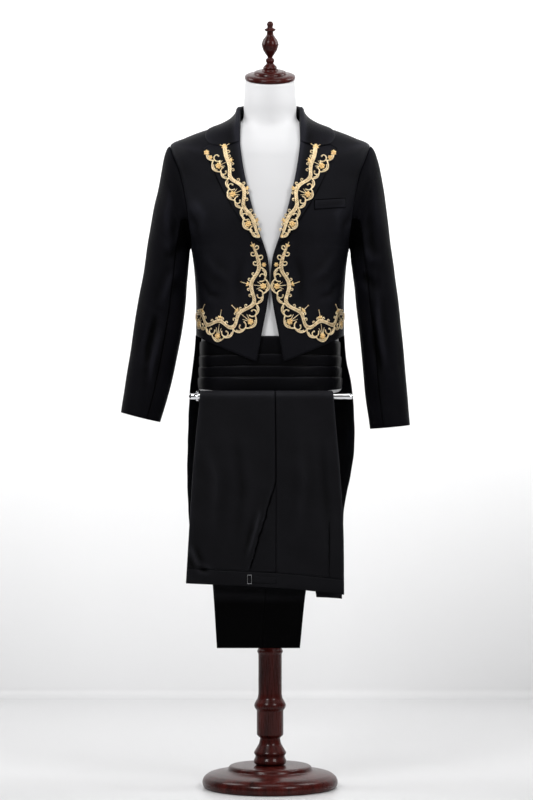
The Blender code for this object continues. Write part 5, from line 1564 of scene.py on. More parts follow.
@dataclass
class BreastPocket:
    """The welt on the left front, a little higher towards the arm."""

    wardrobe: Wardrobe
    body: CoatBody
    x: tuple[float, float] = (0.0975, 0.1660)
    z: tuple[float, float] = (1.2945, 1.3150)
    rise: float = 0.0060
    cloth: float = 0.0016
    thread: tuple[float, float] = (0.0006, 0.0010)
    follows: float = 0.9

    def build(self) -> None:
        """Make the welt, its edges turned down to the front."""
        u, v = shares(40, 18)
        edge = np.minimum(np.minimum(u, 1 - u) * 3.4, np.minimum(v, 1 - v)) * 12
        puff = self.cloth * (0.55 + 0.45 * np.clip(edge, 0, 1) ** 0.5) + 0.0005 * np.sin(PI * v)
        piece = shell("breast_pocket_welt", self.place(u, v, puff), (0.07, 0.021), self.wardrobe.coat, 0.0010,
                      forward)
        settle(piece, Slot.SATIN, "breast_pocket")
        # a near-black cord round the welt: a painted shadow line
        corners = np.array([(0, 0), (1, 0), (1, 1), (0, 1), (0, 0)], float)
        step = np.linspace(0, 1, 24)[:-1, None]
        u, v = np.concatenate([mix(a, b, step) for a, b in zip(corners, corners[1:])]).T
        low, high = (self.place(u, v, self.cloth * 0.4 + rise) for rise in (0.0, SHORT))
        sew_shadow_line("breast_pocket_thread", low, high, mix(*self.thread, v), 1.2, self.wardrobe.edge)

    def place(self, u: Array, v: Array, height: Any) -> Array:
        """Places on the welt.

        Args:
            u: Shares across it, towards the arm.
            v: Shares up it.
            height: Metres out from the front's cloth.

        Returns:
            The places, in metres.
        """
        x, z = mix(*self.x, u), mix(*self.z, v) + self.rise * u
        relief = self.body.front_relief(x, z, 1.0) * self.follows
        return self.body.rings.at(*self.body.rings.front(x, z), 1.0, REST + height + relief)


# ------------------------------------------------------------------ the cummerbund
@dataclass
class Cummerbund:
    """The pleated waist sash and the strap that closes it behind."""

    wardrobe: Wardrobe
    form: DressForm
    centres: tuple[float, ...] = (1.015, 0.975, 0.949, 0.9245, 0.8880)
    sides: tuple[float, ...] = (1.003, 0.970, 0.946, 0.9235, 0.8975)
    step: float = 0.0018
    cloth: float = 0.0012
    rest: float = 0.0010
    end: float = math.radians(100)
    strap_z: tuple[float, float] = (0.925, 0.968)
    pleat_rows: tuple[float, ...] = (0.0, 0.012, 0.05, 0.13, 0.3, 0.5, 0.7, 0.86, 0.97)

    def lie(self, angle: Array, z: Array, height: Array) -> Array:
        """Places over the form at a height."""
        return self.form.rings.at(np.abs(angle), z, np.where(angle >= 0, 1.0, -1.0), self.rest + height)

    def build(self) -> None:
        """Make the pleated front and the strap."""
        self.front()
        self.strap()

    def front(self) -> None:
        """The front, whose pleats open upwards."""
        pleats = len(self.centres) - 1
        rows = [n + np.array(self.pleat_rows) for n in range(pleats)]
        v = np.concatenate([*rows, [pleats - 0.004]])[:, None]
        v, angle = np.broadcast_arrays(v, np.linspace(-self.end, self.end, 150)[None, :])
        bow = np.sin(angle) ** 2
        n = np.minimum(v.astype(int), pleats - 1)
        share = v - n
        centres, sides = np.array(self.centres), np.array(self.sides)
        z = mix(mix(centres[n], centres[n + 1], share), mix(sides[n], sides[n + 1], share), bow)
        sag = 0.0008 * np.sin(5.0 * angle + 1.7 * n) + 0.0005 * np.sin(13.0 * angle + 2.9 * n)
        lip = 1 - np.exp(-share / 0.03)
        fullness = 0.0006 * np.sin(PI * share) * (1 + 0.5 * np.sin(7 * angle + 2 * n))
        height = self.cloth + self.step * (1 - share) * lip + fullness
        places = self.lie(angle, z + sag * np.sin(PI * np.clip(v / pleats, 0, 1)), height)
        piece = shell("pleated_cummerbund", places, (0.46, 0.12), self.wardrobe.satin, self.cloth * 0.7,
                      from_axis)
        settle(piece, Slot.SATIN, "cummerbund")

    def strap(self) -> None:
        """The strap across the back, between the front's ends."""
        turn = np.linspace(self.end + 0.02, 2 * PI - self.end - 0.02, 90)[None, :]
        turn = np.where(turn > PI, turn - 2 * PI, turn)
        turn, across = np.broadcast_arrays(turn, np.linspace(0, 1, 10)[:, None])
        rise = self.cloth + 0.0004 * np.sin(PI * across) + 0.0002 * np.sin(9 * turn)
        places = self.lie(turn, mix(*self.strap_z, across), rise)
        strap = shell("cummerbund_back_strap", places, (0.40, 0.043), self.wardrobe.satin, self.cloth * 0.8,
                      from_axis)
        settle(strap, Slot.SATIN, "cummerbund_strap")


# ------------------------------------------------------------------ the trousers
@dataclass
class Trousers:
    """Trousers pressed flat, one leg on the other, and folded over the bar upside down."""

    wardrobe: Wardrobe
    form: DressForm
    rows: Table = Table("along front_x seam_x back_x", (
        (-0.445, -0.1865, 0.0130, 0.1630), (-0.309, -0.1786, 0.0130, 0.1615),
        (-0.181, -0.1705, 0.0130, 0.1540), (-0.090, -0.1625, 0.0125, 0.1460),
        (0.000, -0.1540, 0.0110, 0.1385), (0.200, -0.1450, 0.0040, 0.1180),
        (0.4426, -0.1260, -0.0100, 0.0795), (0.5716, -0.1177, -0.0180, 0.0660)))
    waist: Table = Table("x z", ((-0.190, 0.4700), (0.013, 0.4600), (0.106, 0.4515), (0.170, 0.4440)))
    stack: float = 0.0060
    waistband: float = 0.032
    pocket_seam_z: float = 0.695
    pocket_waist_z: float = 0.494
    pocket_waist_x: float = -0.0463
    crotch_z: float = 0.694
    fly_width: float = 0.042
    fly_length: float = 0.180
    underlap: float = 0.012
    mouth_thread: float = 0.0010
    band_extra: float = 0.0006
    tab_x: tuple[float, float] = (-0.039, 0.013)
    tab_width: float = 0.014
    sway: float = 0.004
    sway_wave: float = 6.0
    curl_in: float = 0.0012
    curl_drop: float = 0.0028
    seam_dip: float = 0.0003
    mouth_puff: float = 0.0011
    slit_share: float = 0.4
    inset: float = TROUSER_CLOTH + SEAM + 0.0002
    fall_creases: tuple[Crease, ...] = (
        Crease(((-0.150, 0.800), (-0.120, 0.700), (-0.130, 0.560)), 0.0018, 0.015),
        Crease(((-0.080, 0.830), (-0.060, 0.680), (-0.075, 0.540)), -0.0016, 0.014),
        Crease(((0.060, 0.840), (0.075, 0.700), (0.060, 0.560)), 0.0016, 0.014),
        Crease(((0.115, 0.820), (0.120, 0.690), (0.135, 0.540)), -0.0015, 0.012),
        Crease(((-0.178, 0.556), (-0.165, 0.522), (-0.150, 0.496)), 0.0056, 0.006),
        Crease(((-0.163, 0.508), (-0.148, 0.500), (-0.132, 0.497)), -0.0056, 0.005),
        Crease(((-0.020, 0.640), (-0.034, 0.580), (-0.052, 0.520)), 0.0030, 0.005),
    )
    slit: Crease = Crease(((0.131, 0.600), (0.129, 0.480)), -0.0022, 0.0024)

    @property
    def inside(self) -> float:
        """The radius of the inmost cloth over the bar."""
        return self.form.bar_radius + REST

    @property
    def quarter(self) -> float:
        """The way over a quarter turn of the bar, in the middle of the layers."""
        return (self.inside + self.stack / 2) * PI / 2

    def drape(self, x: Any, over: Any, height: Any) -> Array:
        """Places in the layers over the bar: over is measured from the bar's top, behind is plus.

        Args:
            x: Place along the bar.
            over: Place over the bar.
            height: Height in the layers, from the bar.

        Returns:
            The places, in metres.
        """
        x, over, height = np.broadcast_arrays(*(np.asarray(a, float) for a in (x, over, height)))
        turn = np.clip(over / (self.inside + self.stack / 2), -PI / 2, PI / 2)
        drop = np.maximum(np.abs(over) - self.quarter, 0)
        front = over < 0
        sway = np.where(front, self.sway * np.sin(drop * self.sway_wave) * np.minimum(drop / 0.1, 1), 0)
        z = self.form.bar_z - drop
        soft = creased(self.fall_creases, x, z) + drift(x, z, 0.0012, 0.17, 0.4)
        soft = soft * ramp(drop, 0.0, 0.12) * np.where(front, -1.0, 0.6)
        y = self.form.bar_y + (self.inside + height) * np.sin(turn) - sway + soft
        return points(x, y, self.form.bar_z + (self.inside + height) * np.cos(turn) - drop)

    def over_at(self, z: Any) -> Any:
        """How far over the bar a height is, on the front fall."""
        return -(self.form.bar_z - z + self.quarter)

    def band_line(self, x: Any) -> Array:
        """How far over the bar the waistband's seam is."""
        return self.over_at(self.waist.read(x, "z")) + self.waistband

    def pocket_x(self, over: Array) -> Array:
        """The edge of the front panel: the side seam and the slanted pocket mouth.

        Args:
            over: Places over the bar.

        Returns:
            Places along the bar.
        """
        seam = self.rows.read(over, "seam_x") - SEAM / 2
        start, end = self.over_at(self.pocket_seam_z), self.over_at(self.pocket_waist_z)
        share = np.clip((start - over) / (start - end), 0, 1)
        pucker = 0.0016 * np.sin(150 * over) * np.sin(67 * over + 1)
        return mix(seam, self.pocket_waist_x, share) + pucker * np.sin(PI * np.clip(share * 1.02, 0, 1))

    def fall_rows(self, first: Any, last: Any, steps: tuple[int, int, int] = (70, 13, 76)) -> Array:
        """Places over the bar for a grid's rows, closer where they bend.

        Args:
            first: Where the rows start, for each column.
            last: Where they end.
            steps: Rows on the front fall, over the bar, and on the back fall.

        Returns:
            Rows by columns of places.
        """
        quarter = self.quarter
        first = np.atleast_1d(np.asarray(first, float))[None, :]
        front = mix(first, -quarter, np.linspace(0, 1, steps[0])[:-1, None])
        bend = np.linspace(-quarter, quarter, steps[1])[:-1]
        rest = np.concatenate([bend, np.linspace(quarter, last, steps[2])])[:, None]
        return np.concatenate([front, np.broadcast_to(rest, (len(rest), first.shape[1]))])

    def build(self) -> None:
        """Make every piece of the trousers."""
        for side, outermost in ((Side.RIGHT, True), (Side.LEFT, False)):
            self.panel(side, "front", outermost)
            self.panel(side, "back", outermost)
            self.facing(side, outermost)
            self.band(side, outermost)
            self.tab(side, outermost)
        self.layers()
        self.fly()

    def outward(self, outermost: bool) -> Callable[[Array], Array]:
        """The direction that a leg's outer cloth faces, on the front fall or behind."""
        sign = 1.0 if outermost else -1.0
        return lambda here: np.array([0, (1.0 if here[1] > self.form.bar_y else -1.0) * sign, 0])

    def height(self, drop: Array, outermost: bool) -> Array:
        """Height in the layers, from a drop under a leg's outer face."""
        return self.stack - drop if outermost else drop

    def panel(self, side: Side, part: str, outermost: bool) -> None:
        """A front or back panel of a leg, its pressed crease curled round the layers.

        Args:
            side: The wearer's side.
            part: "front" or "back".
            outermost: The leg is the one in front.
        """
        edge = f"{part}_x"
        flat = 40
        curl = np.linspace(0, PI / 2, 6)[:-1]
        tip_in = np.concatenate([self.curl_in * (1 - np.sin(PI / 2 - curl)), np.zeros(flat)])
        tip_drop = np.concatenate([self.curl_drop * np.cos(curl), np.zeros(flat)])
        share = np.concatenate([np.zeros(len(curl)), np.linspace(0.006, 1, flat)])
        x = np.full(len(share), float(self.rows.read(0.0, edge)))
        for _ in range(3):
            over = self.fall_rows(self.band_line(x), self.rows.column("along")[-1])
            crease = self.rows.read(over, edge)
            seam = self.pocket_x(over) if part == "front" else self.rows.read(over, "seam_x") + SEAM / 2
            inwards = np.where(seam > crease, 1.0, -1.0)
            full = mix(crease, seam, share[None, :]) + inwards * tip_in[None, :]
            x = full[0]
        near_seam = np.abs(full - seam)
        dip = self.seam_dip * np.exp(-((near_seam / 0.003) ** 2))
        if part == "front":
            start, end = self.over_at(self.pocket_seam_z), self.over_at(self.pocket_waist_z)
            mouth = np.sin(PI * np.clip((start - over) / (start - end), 0, 1)) ** 0.6
            puff = self.mouth_puff * (0.65 + 0.35 * np.sin(190 * over) * np.sin(83 * over))
            dip = dip - mouth * puff * np.exp(-(((near_seam - 0.0035) / 0.0026) ** 2))
        drop = tip_drop[None, :] + dip
        if part == "back":
            z = self.form.bar_z + over
            drop = drop - self.slit.rise(full, z) * np.where(over < -0.02, 1.0, 0.0) * self.slit_share
        places = self.drape(full, over, self.height(drop, outermost))
        piece = shell(f"trouser_{part}_{side.label}_cloth", places, (0.18, 1.0), self.wardrobe.trousers,
                      TROUSER_CLOTH * 0.95, self.outward(outermost))
        settle(piece, Slot.TROUSERS, f"trouser_{part}_{side.label}")
        self.threads(side, part, outermost)

    def threads(self, side: Side, part: str, outermost: bool) -> None:
        """The near-black cord along a front panel's side seam and pocket mouth, or along the slit behind:
        painted shadow lines.

        Args:
            side: The wearer's side.
            part: "front" or "back".
            outermost: The leg is the one in front.
        """
        if part == "front":
            over = np.linspace(-0.003, self.over_at(self.pocket_waist_z) + 0.010, 260)
            mouth = ramp(self.over_at(self.pocket_seam_z) - over, 0.0, 0.02)
            pucker = 1 + 0.45 * mouth * np.sin(310 * over) * np.sin(131 * over + 0.7)
            self.thread(f"side_seam_thread_{side.label}", self.pocket_x(over) + 0.0002, over,
                        mix(0.0008, self.mouth_thread, mouth) * pucker, outermost)
        elif outermost:
            over = np.linspace(self.over_at(0.604), self.over_at(0.482), 40)
            wave = 0.0005 * np.sin(210 * over)
            self.thread("back_slit_thread", 0.1300 + wave, over, 0.0006, outermost)

    def thread(self, name: str, x: Array, over: Array, width: Any, outermost: bool) -> None:
        """A dark sunk cord on a leg's outer face: a painted shadow line.

        Args:
            name: The piece's name.
            x: Places along the bar.
            over: Places over the bar.
            width: Half its width.
            outermost: The leg is the one in front.
        """
        sunk = 0.0004 + 0.0003 * np.sin(240 * over) * np.sin(97 * over)
        low, high = (self.drape(x, over, self.height(drop, outermost)) for drop in (sunk, sunk - SHORT))
        sew_shadow_line(name, low, high, width, 1.6, self.wardrobe.edge)

    def layers(self) -> None:
        """The hidden inner cloth of both legs, which shows only at the hems."""
        hem = self.rows.column("along")[-1] - 0.0008
        over = self.fall_rows(self.over_at(self.crotch_z), hem, (24, 9, 60))
        share, over = np.broadcast_arrays(np.linspace(-1, 1, 24)[None, :], over)
        low = self.rows.read(over, "front_x") + self.inset
        high = self.rows.read(over, "back_x") - self.inset
        seam = self.rows.read(over, "seam_x")
        x = np.where(share < 0, mix(seam, low, -share), mix(seam, high, share))
        top = self.stack - TROUSER_CLOTH - SEAM
        piece = shell("trouser_inseam_layers_cloth", self.drape(x, over, top), (0.25, 0.75),
                      self.wardrobe.trousers, top - TROUSER_CLOTH - SEAM, self.outward(True))
        settle(piece, Slot.TROUSERS, "trouser_inseam_layers")

    def fly(self) -> None:
        """The fly's end, between the legs at the waist."""
        u, v = shares(12, 40)
        start = self.over_at(self.waist.read(self.rows.read(0.0, "front_x"), "z")) + 0.004
        over = mix(start, start + self.fly_length, v)
        x = self.rows.read(over, "front_x") + self.inset + self.fly_width * u * (1 - 0.8 * v**3)
        places = self.drape(x, over, self.stack / 2 + TROUSER_CLOTH / 2)
        piece = shell("trouser_fly_cloth", places, (0.042, 0.18), self.wardrobe.trousers, TROUSER_CLOTH,
                      self.outward(True))
        settle(piece, Slot.TROUSERS, "trouser_fly")

    def facing(self, side: Side, outermost: bool) -> None:
        """The pocket facing behind the slanted mouth.

        Args:
            side: The wearer's side.
            outermost: The leg is the one in front.
        """
        u, v = shares(24, 50)
        over = mix(self.band_line(0.0) + SEAM, self.over_at(self.pocket_seam_z) - 0.004, v)
        x = mix(self.pocket_x(over) - self.underlap * (1 - v) - 0.002, self.rows.read(over, "seam_x"), u)
        drop = TROUSER_CLOTH + SEAM
        piece = shell(f"pocket_facing_{side.label}_cloth", self.drape(x, over, self.height(drop, outermost)),
                      (0.05, 0.2), self.wardrobe.trousers, TROUSER_CLOTH * 0.9, self.outward(outermost))
        settle(piece, Slot.TROUSERS, f"trouser_pocket_facing_{side.label}")

    def band(self, side: Side, outermost: bool) -> None:
        """The waistband, from the front crease to the back crease.

        Args:
            side: The wearer's side.
            outermost: The leg is the one in front.
        """
        curl = np.linspace(0, PI / 2, 6)[:-1]
        middle = np.linspace(0.003, 0.997, 90)
        share = np.concatenate([np.zeros(5), middle, np.ones(5)])
        tip = self.curl_drop * np.cos(curl)
        tip_drop = np.concatenate([tip, np.zeros(90), tip[::-1]])
        v = np.linspace(0, 1, 12)[:, None]
        x = mix(float(self.rows.read(-0.44, "front_x")), float(self.rows.read(-0.44, "back_x")), share)
        for _ in range(3):
            seam = self.band_line(x) - SEAM / 2
            over = mix(seam - self.waistband, seam, v)
            x = mix(self.rows.read(over, "front_x"), self.rows.read(over, "back_x"), share[None, :])
            across, x = x, x.mean(axis=0)
        raised = self.band_extra * np.minimum(np.minimum(share, 1 - share) * 30, 1)[None, :]
        drop = tip_drop[None, :] - raised * np.sin(PI * np.clip(v, 0.12, 0.88)) ** 0.3
        piece = shell(f"waistband_{side.label}_cloth", self.drape(across, over, self.height(drop, outermost)),
                      (0.35, 0.032), self.wardrobe.trousers, TROUSER_CLOTH, self.outward(outermost))
        settle(piece, Slot.TROUSERS, f"waistband_{side.label}")

    def tab(self, side: Side, outermost: bool) -> None:
        """The side adjuster's tab.

        Args:
            side: The wearer's side.
            outermost: The leg is the one in front.
        """
        u, v = shares(26, 9)
        x = mix(*self.tab_x, u)
        point = 0.5 + (v - 0.5) * (0.72 + 0.28 * np.clip(u * 8, 0, 1))
        over = self.band_line(x) - self.waistband / 2 + self.tab_width * (point - 0.5)
        rise = self.band_extra + SEAM * 1.5 + TROUSER_CLOTH * (0.85 + 0.15 * np.sin(PI * v))
        piece = shell(f"adjuster_tab_{side.label}", self.drape(x, over, self.height(-rise, outermost)),
                      (0.052, 0.014), self.wardrobe.trousers, TROUSER_CLOTH * 0.8, self.outward(outermost))
        settle(piece, Slot.TROUSERS, f"waist_tab_{side.label}")


# ------------------------------------------------------------------ the gold scrollwork
@dataclass
class Band:
    """The middle of an ornamental band, with its reach to each side."""

    rows: tuple[tuple[float, float, float, float], ...]

    def __post_init__(self) -> None:
        """Draw a smooth line through the rows and measure it."""
        rows = np.array(self.rows)
        fine = np.linspace(0, len(rows) - 1, 40 * (len(rows) - 1) + 1)
        part = np.minimum(fine.astype(int), len(rows) - 2)
        share = (fine - part)[:, None]
        here, there = rows[part], rows[part + 1]
        before, after = rows[np.maximum(part - 1, 0)], rows[np.minimum(part + 2, len(rows) - 1)]
        start, end, rise = (there - before) / 2, (after - here) / 2, there - here
        self.line = curved(here, rise, start, end, share)
        runs = np.hypot(*np.diff(self.line[:, :2], axis=0).T)
        self.walked = np.concatenate([[0.0], np.cumsum(runs)])
        self.ahead = unit(np.gradient(self.line[:, :2], axis=0))

    @property
    def length(self) -> float:
        """The band's length, in metres."""
        return float(self.walked[-1])

    def span(self, bay: Bay) -> tuple[float, float]:
        """Where a bay starts along the band, and its length."""
        return bay.start * self.length, (bay.end - bay.start) * self.length

    def read(self, distance: Any, values: Array) -> Array:
        """Values along the band at a distance."""
        return np.interp(distance, self.walked, values)

    def at(self, distance: Any, across: Any, off: Any = 0.0) -> Array:
        """Flat places on the band.

        Args:
            distance: Distance along the band.
            across: Share of the reach to a side; above 0 is the garment's edge.
            off: Metres further out.

        Returns:
            x and z of each place, on the unrolled cloth.
        """
        distance = np.asarray(distance, float)
        ahead = unit(np.stack([self.read(distance, self.ahead[:, n]) for n in (0, 1)], axis=-1))
        side = np.stack([ahead[..., 1], -ahead[..., 0]], axis=-1)
        x, z, edge, inner = (self.read(distance, self.line[:, n]) for n in range(4))
        reach = np.where(np.asarray(across) > 0, edge, inner)
        return np.stack([x, z], axis=-1) + side * (across * reach + off)[..., None]


@dataclass(frozen=True)
class Bay:
    """One bay of a band: its ends as shares of the length, and how it closes."""

    start: float
    end: float
    last_across: float = 0.15
    opens: bool = False
    bud: bool = True
    vine_out: ClassVar[float] = 0.10
    vine_in: ClassVar[float] = -0.85

    def vine(self, share: Any) -> Array:
        """How far across the band the vine is, at a share of the bay.

        Args:
            share: The share of the bay.

        Returns:
            The share of the reach to the garment's edge.
        """
        crest = np.sin(PI * np.asarray(share, float))
        if self.opens:
            crest = np.where(share > 0.5, 1.0, crest)
        return mix(self.vine_out, self.vine_in, np.maximum(crest, 0.0) ** 1.3)


@dataclass
class Needlework:
    """The gold of one panel while it is laid, and how flat places lie on the panel's cloth."""

    lay: Callable[[Array, Any, float], Array]
    side: float
    meshes: dict[str, bmesh.types.BMesh] = field(default_factory=lambda: {
        kind: bmesh.new() for kind in ("cord", "braid", "rosette")})
    lift: float = 0.0006
    curl_turn: float = 1.5 * PI
    curl_close: float = 0.62
    petals: int = 6
    bud_petal: tuple[float, float, float] = (0.0062, 0.0046, 0.0021)
    spike: tuple[float, float] = (0.0011, 0.0006)
    petal_shape: ClassVar[Array] = np.array([0.16, 0.28, 0.37, 0.41, 0.39, 0.30, 0.16])
    bud_shape: ClassVar[Array] = np.array([0.5, 0.85, 1.0, 1.0, 0.8, 0.45])

    def stroke(self, kind: str, flat: Array, radius: Any, flatness: float = 0.8, base: float = 0.0) -> None:
        """Lay one cord along flat places.

        Args:
            kind: The thread it is made of.
            flat: The places, on the unrolled cloth.
            radius: Its radius at each place, or one for all.
            flatness: Its height as a share of its width.
            base: How much higher it lies than a cord on the bare cloth.
        """
        radius = np.broadcast_to(np.asarray(radius, float), (len(flat),))
        low, high = (self.lay(flat, height, self.side) for height in (0.0, 2 * SHORT))
        normal = unit(high - low)
        line = low + normal * (self.lift + base + radius * flatness * 0.75)[:, None]
        add_cord(self.meshes[kind], line, normal, radius, flatness)

    def bead(self, kind: str, flat: Array, radius: float) -> None:
        """Sew one bead at a flat place."""
        add_ball(self.meshes[kind], self.lay(flat, self.lift + radius * 0.6, self.side), radius)

    def curl(self, foot: Array, centre: Array, way: float, radius: float) -> None:
        """A cord that leaves a foot and winds in round a centre, with a bead at its end.

        Args:
            foot: Where it starts.
            centre: What it winds round.
            way: 1 or -1, the way it turns.
            radius: The cord's radius at the foot.
        """
        start, reach = math.atan2(foot[1] - centre[1], foot[0] - centre[0]), math.dist(foot, centre)
        share = np.linspace(0, 1, 18)
        turn = start + way * self.curl_turn * share
        around = np.stack([np.cos(turn), np.sin(turn)], axis=-1)
        line = centre + around * (reach * (1 - self.curl_close * share))[:, None]
        self.stroke("cord", line, radius * (1 - 0.2 * share))
        self.bead("cord", line[-1], radius * 1.35)

    def bud(self, foot: Array, tip: Array) -> None:
        """Three petals with a long spike between them.

        Args:
            foot: Where they grow from.
            tip: The spike's end.
        """
        ahead = (tip - foot) / math.dist(tip, foot)
        across = np.array([-ahead[1], ahead[0]])
        share = np.linspace(0, 1, 6)[:, None]
        length, spread, radius = self.bud_petal
        for lean in (-1.0, 0.0, 1.0):
            end = foot + ahead * (length - 0.0014 * abs(lean)) + across * lean * spread
            self.stroke("rosette", mix(foot, end, share), radius * self.bud_shape, 0.7)
        self.stroke("cord", mix(foot, tip, share), np.linspace(*self.spike, 6), 0.8, 0.0006)
        self.bead("rosette", tip, 0.0012)

    def flower(self, centre: Array, radius: float, turn: float) -> None:
        """A rosette of six padded petals round a bead.

        Args:
            centre: Its middle.
            radius: Its radius.
            turn: How far it is turned.
        """
        for n in range(self.petals):
            way = 2 * PI * n / self.petals + turn
            share = np.linspace(0.20, 0.92, 7)[:, None]
            petal = centre + np.array([math.cos(way), math.sin(way)]) * radius * share
            self.stroke("rosette", petal, radius * self.petal_shape, 0.6)
        self.bead("rosette", centre, radius * 0.34)


@dataclass
class Scrollwork:
    """A lobed double cord and a winding braid, with scrolls, rosettes, curls and spikes between."""

    wardrobe: Wardrobe
    body: CoatBody
    lapels: Lapels
    front_band: Band = field(default_factory=lambda: Band((
        (0.0370, 1.2120, 0.0050, 0.0050), (0.0290, 1.1900, 0.0100, 0.0090), (0.0245, 1.1660, 0.0165, 0.0150),
        (0.0245, 1.1400, 0.0205, 0.0200), (0.0290, 1.1080, 0.0200, 0.0190), (0.0375, 1.0820, 0.0220, 0.0190),
        (0.0560, 1.0520, 0.0250, 0.0230), (0.0830, 1.0330, 0.0265, 0.0230), (0.1130, 1.0290, 0.0280, 0.0240),
        (0.1450, 1.0370, 0.0220, 0.0210), (0.1760, 1.0500, 0.0200, 0.0190),
        (0.2050, 1.0660, 0.0150, 0.0150))))
    lapel_band: Band = field(default_factory=lambda: Band((
        (0.0230, 1.2330, 0.0055, 0.0035), (0.0400, 1.2600, 0.0110, 0.0080), (0.0590, 1.3010, 0.0170, 0.0150),
        (0.0750, 1.3380, 0.0205, 0.0200), (0.0920, 1.3720, 0.0190, 0.0180), (0.1080, 1.4030, 0.0185, 0.0160),
        (0.1160, 1.4285, 0.0240, 0.0190))))
    front_bays: tuple[Bay, ...] = (Bay(0.145, 0.385), Bay(0.385, 0.610), Bay(0.610, 0.820), Bay(0.820, 1.000))
    lapel_bays: tuple[Bay, ...] = (
        Bay(0.000, 0.340, bud=False), Bay(0.340, 0.675, bud=False), Bay(0.675, 1.000, 1.00, True, False))
    lobe_ends: tuple[float, ...] = (0.0, 0.30, 0.70, 1.0)
    lobe_bulges: tuple[float, ...] = (0.30, 0.38, 0.30)
    lobe_across: float = 0.60
    cord: float = 0.0017
    second_cord: float = 0.0012
    braid: float = 0.0033
    rosette: float = 0.0074
    between_cords: float = 0.0033
    bud_gap: float = 0.0042
    sprig: tuple[tuple[float, int, float], ...] = (
        (0.16, 1, 0.0042), (0.38, -1, 0.0048), (0.62, 1, 0.0054), (0.84, -1, 0.0050))

    def build(self) -> None:
        """Lay the scrollwork on both fronts and both lapels."""
        for side in Side:
            self.work(side, "front", self.front_band, self.front_bays)
            self.work(side, "lapel", self.lapel_band, self.lapel_bays)

    def on_front(self, flat: Array, height: Any, side: float) -> Array:
        """Places on a front, from girth around it and height up it.

        Args:
            flat: Girth and height of each place.
            height: Metres out from the cloth.
            side: 1 for the wearer's left and -1 for the right.

        Returns:
            The places, in metres.
        """
        turns = np.linspace(0, PI / 2, 240)
        level = flat[..., 1]
        ring = self.body.rings.point(turns[None, :], level.reshape(-1, 1))
        runs = np.linalg.norm(np.diff(ring, axis=1), axis=-1)
        walked = np.concatenate([np.zeros((len(runs), 1)), np.cumsum(runs, axis=1)], axis=1)
        girth = flat[..., 0].reshape(-1)
        angle = np.array([np.interp(g, w, turns) for g, w in zip(girth, walked)]).reshape(level.shape)
        spot = self.body.rings.point(angle, level)
        relief = self.body.front_relief(spot[..., 0], spot[..., 2], side)
        return self.body.rings.at(angle, level, side, relief + height)

    def on_lapel(self, flat: Array, height: Any, side: float) -> Array:
        """Places on a lapel's fall.

        Args:
            flat: The x and z of each place.
            height: Metres out from the cloth.
            side: 1 for the wearer's left and -1 for the right.

        Returns:
            The places, in metres.
        """
        x, z = flat[..., 0], flat[..., 1]
        roll = self.body.front_edge.read(z, "x")
        angle, level = self.body.rings.front(x, z)
        fall = self.lapels.fall_height(np.maximum(x - roll, 0))
        return self.body.rings.at(angle, level, side, fall + height)

    def work(self, side: Side, panel: str, band: Band, bays: Sequence[Bay]) -> None:
        """All the gold of one panel.

        Args:
            side: The wearer's side.
            panel: "front" or "lapel".
            band: Where the band runs.
            bays: The bays along it.
        """
        gold = Needlework(self.on_front if panel == "front" else self.on_lapel, side.value)
        self.vine(gold, band, bays)
        for bay in bays:
            self.border(gold, band, bay)
            self.filling(gold, band, bay)
        self.ends(gold, band, bays)
        looks = {"cord": self.wardrobe.cord, "braid": self.wardrobe.braid, "rosette": self.wardrobe.rosette}
        for kind, bm in gold.meshes.items():
            piece = new_object(f"gold_{kind}_{panel}_{side.label}", weld(bm), looks[kind])
            settle(piece, Slot.GOLD, f"applique_{panel}_{side.label}")

    def border(self, gold: Needlework, band: Band, bay: Bay) -> None:
        """The three lobes of a bay's edge, each a thick cord with a second one inside it.

        Args:
            gold: The panel's gold.
            band: Where the band runs.
            bay: The bay.
        """
        start, run = band.span(bay)
        third = mix(self.lobe_across, bay.last_across, 0.5 * bay.opens)
        meets = (0.15, self.lobe_across, third, bay.last_across)
        cusps = band.at(start + np.array(self.lobe_ends) * run, np.array(meets))
        share = np.linspace(0, 1, 17)[:, None]
        for first, last, bulge in zip(cusps, cusps[1:], self.lobe_bulges):
            chord = last - first
            out = np.array([chord[1], -chord[0]]) * bulge
            line = mix(first, last, share) + out * np.sin(PI * share) ** 0.8
            gold.stroke("cord", line, self.cord)
            ahead = unit(np.gradient(line, axis=0))
            inward = np.stack([-ahead[:, 1], ahead[:, 0]], axis=-1)
            gold.stroke("cord", (line + inward * self.between_cords)[3:-3], self.second_cord)

    def vine(self, gold: Needlework, band: Band, bays: Sequence[Bay]) -> None:
        """The broad winding braid between two edge cords.

        Args:
            gold: The panel's gold.
            band: Where the band runs.
            bays: The bays along it.
        """
        first = bays[0].start
        lead = np.linspace(0, first, 14, endpoint=False) if first > 0 else np.zeros(0)
        along, across = [lead], [bays[0].vine_out * lead / max(first, 1e-6)]
        for bay in bays:
            share = np.linspace(0, 1, 36, endpoint=bay is bays[-1])
            along.append(bay.start + (bay.end - bay.start) * share)
            across.append(bay.vine(share))
        along, across = np.concatenate(along) * band.length, np.concatenate(across)
        across = np.convolve(np.pad(across, 5, mode="edge"), np.ones(11) / 11, mode="valid")
        width = self.braid * (0.45 + 0.55 * ramp(along, 0, 0.045))
        gold.stroke("braid", band.at(along, across), width, 0.34)
        gold.stroke("cord", band.at(along, across), width * 0.22, 0.9, 0.0008)
        for edge in (-1, 1):
            thin = np.minimum(self.second_cord * 0.9, width * 0.5)
            gold.stroke("cord", band.at(along, across, edge * width * 1.02), thin, 0.9, 0.0003)

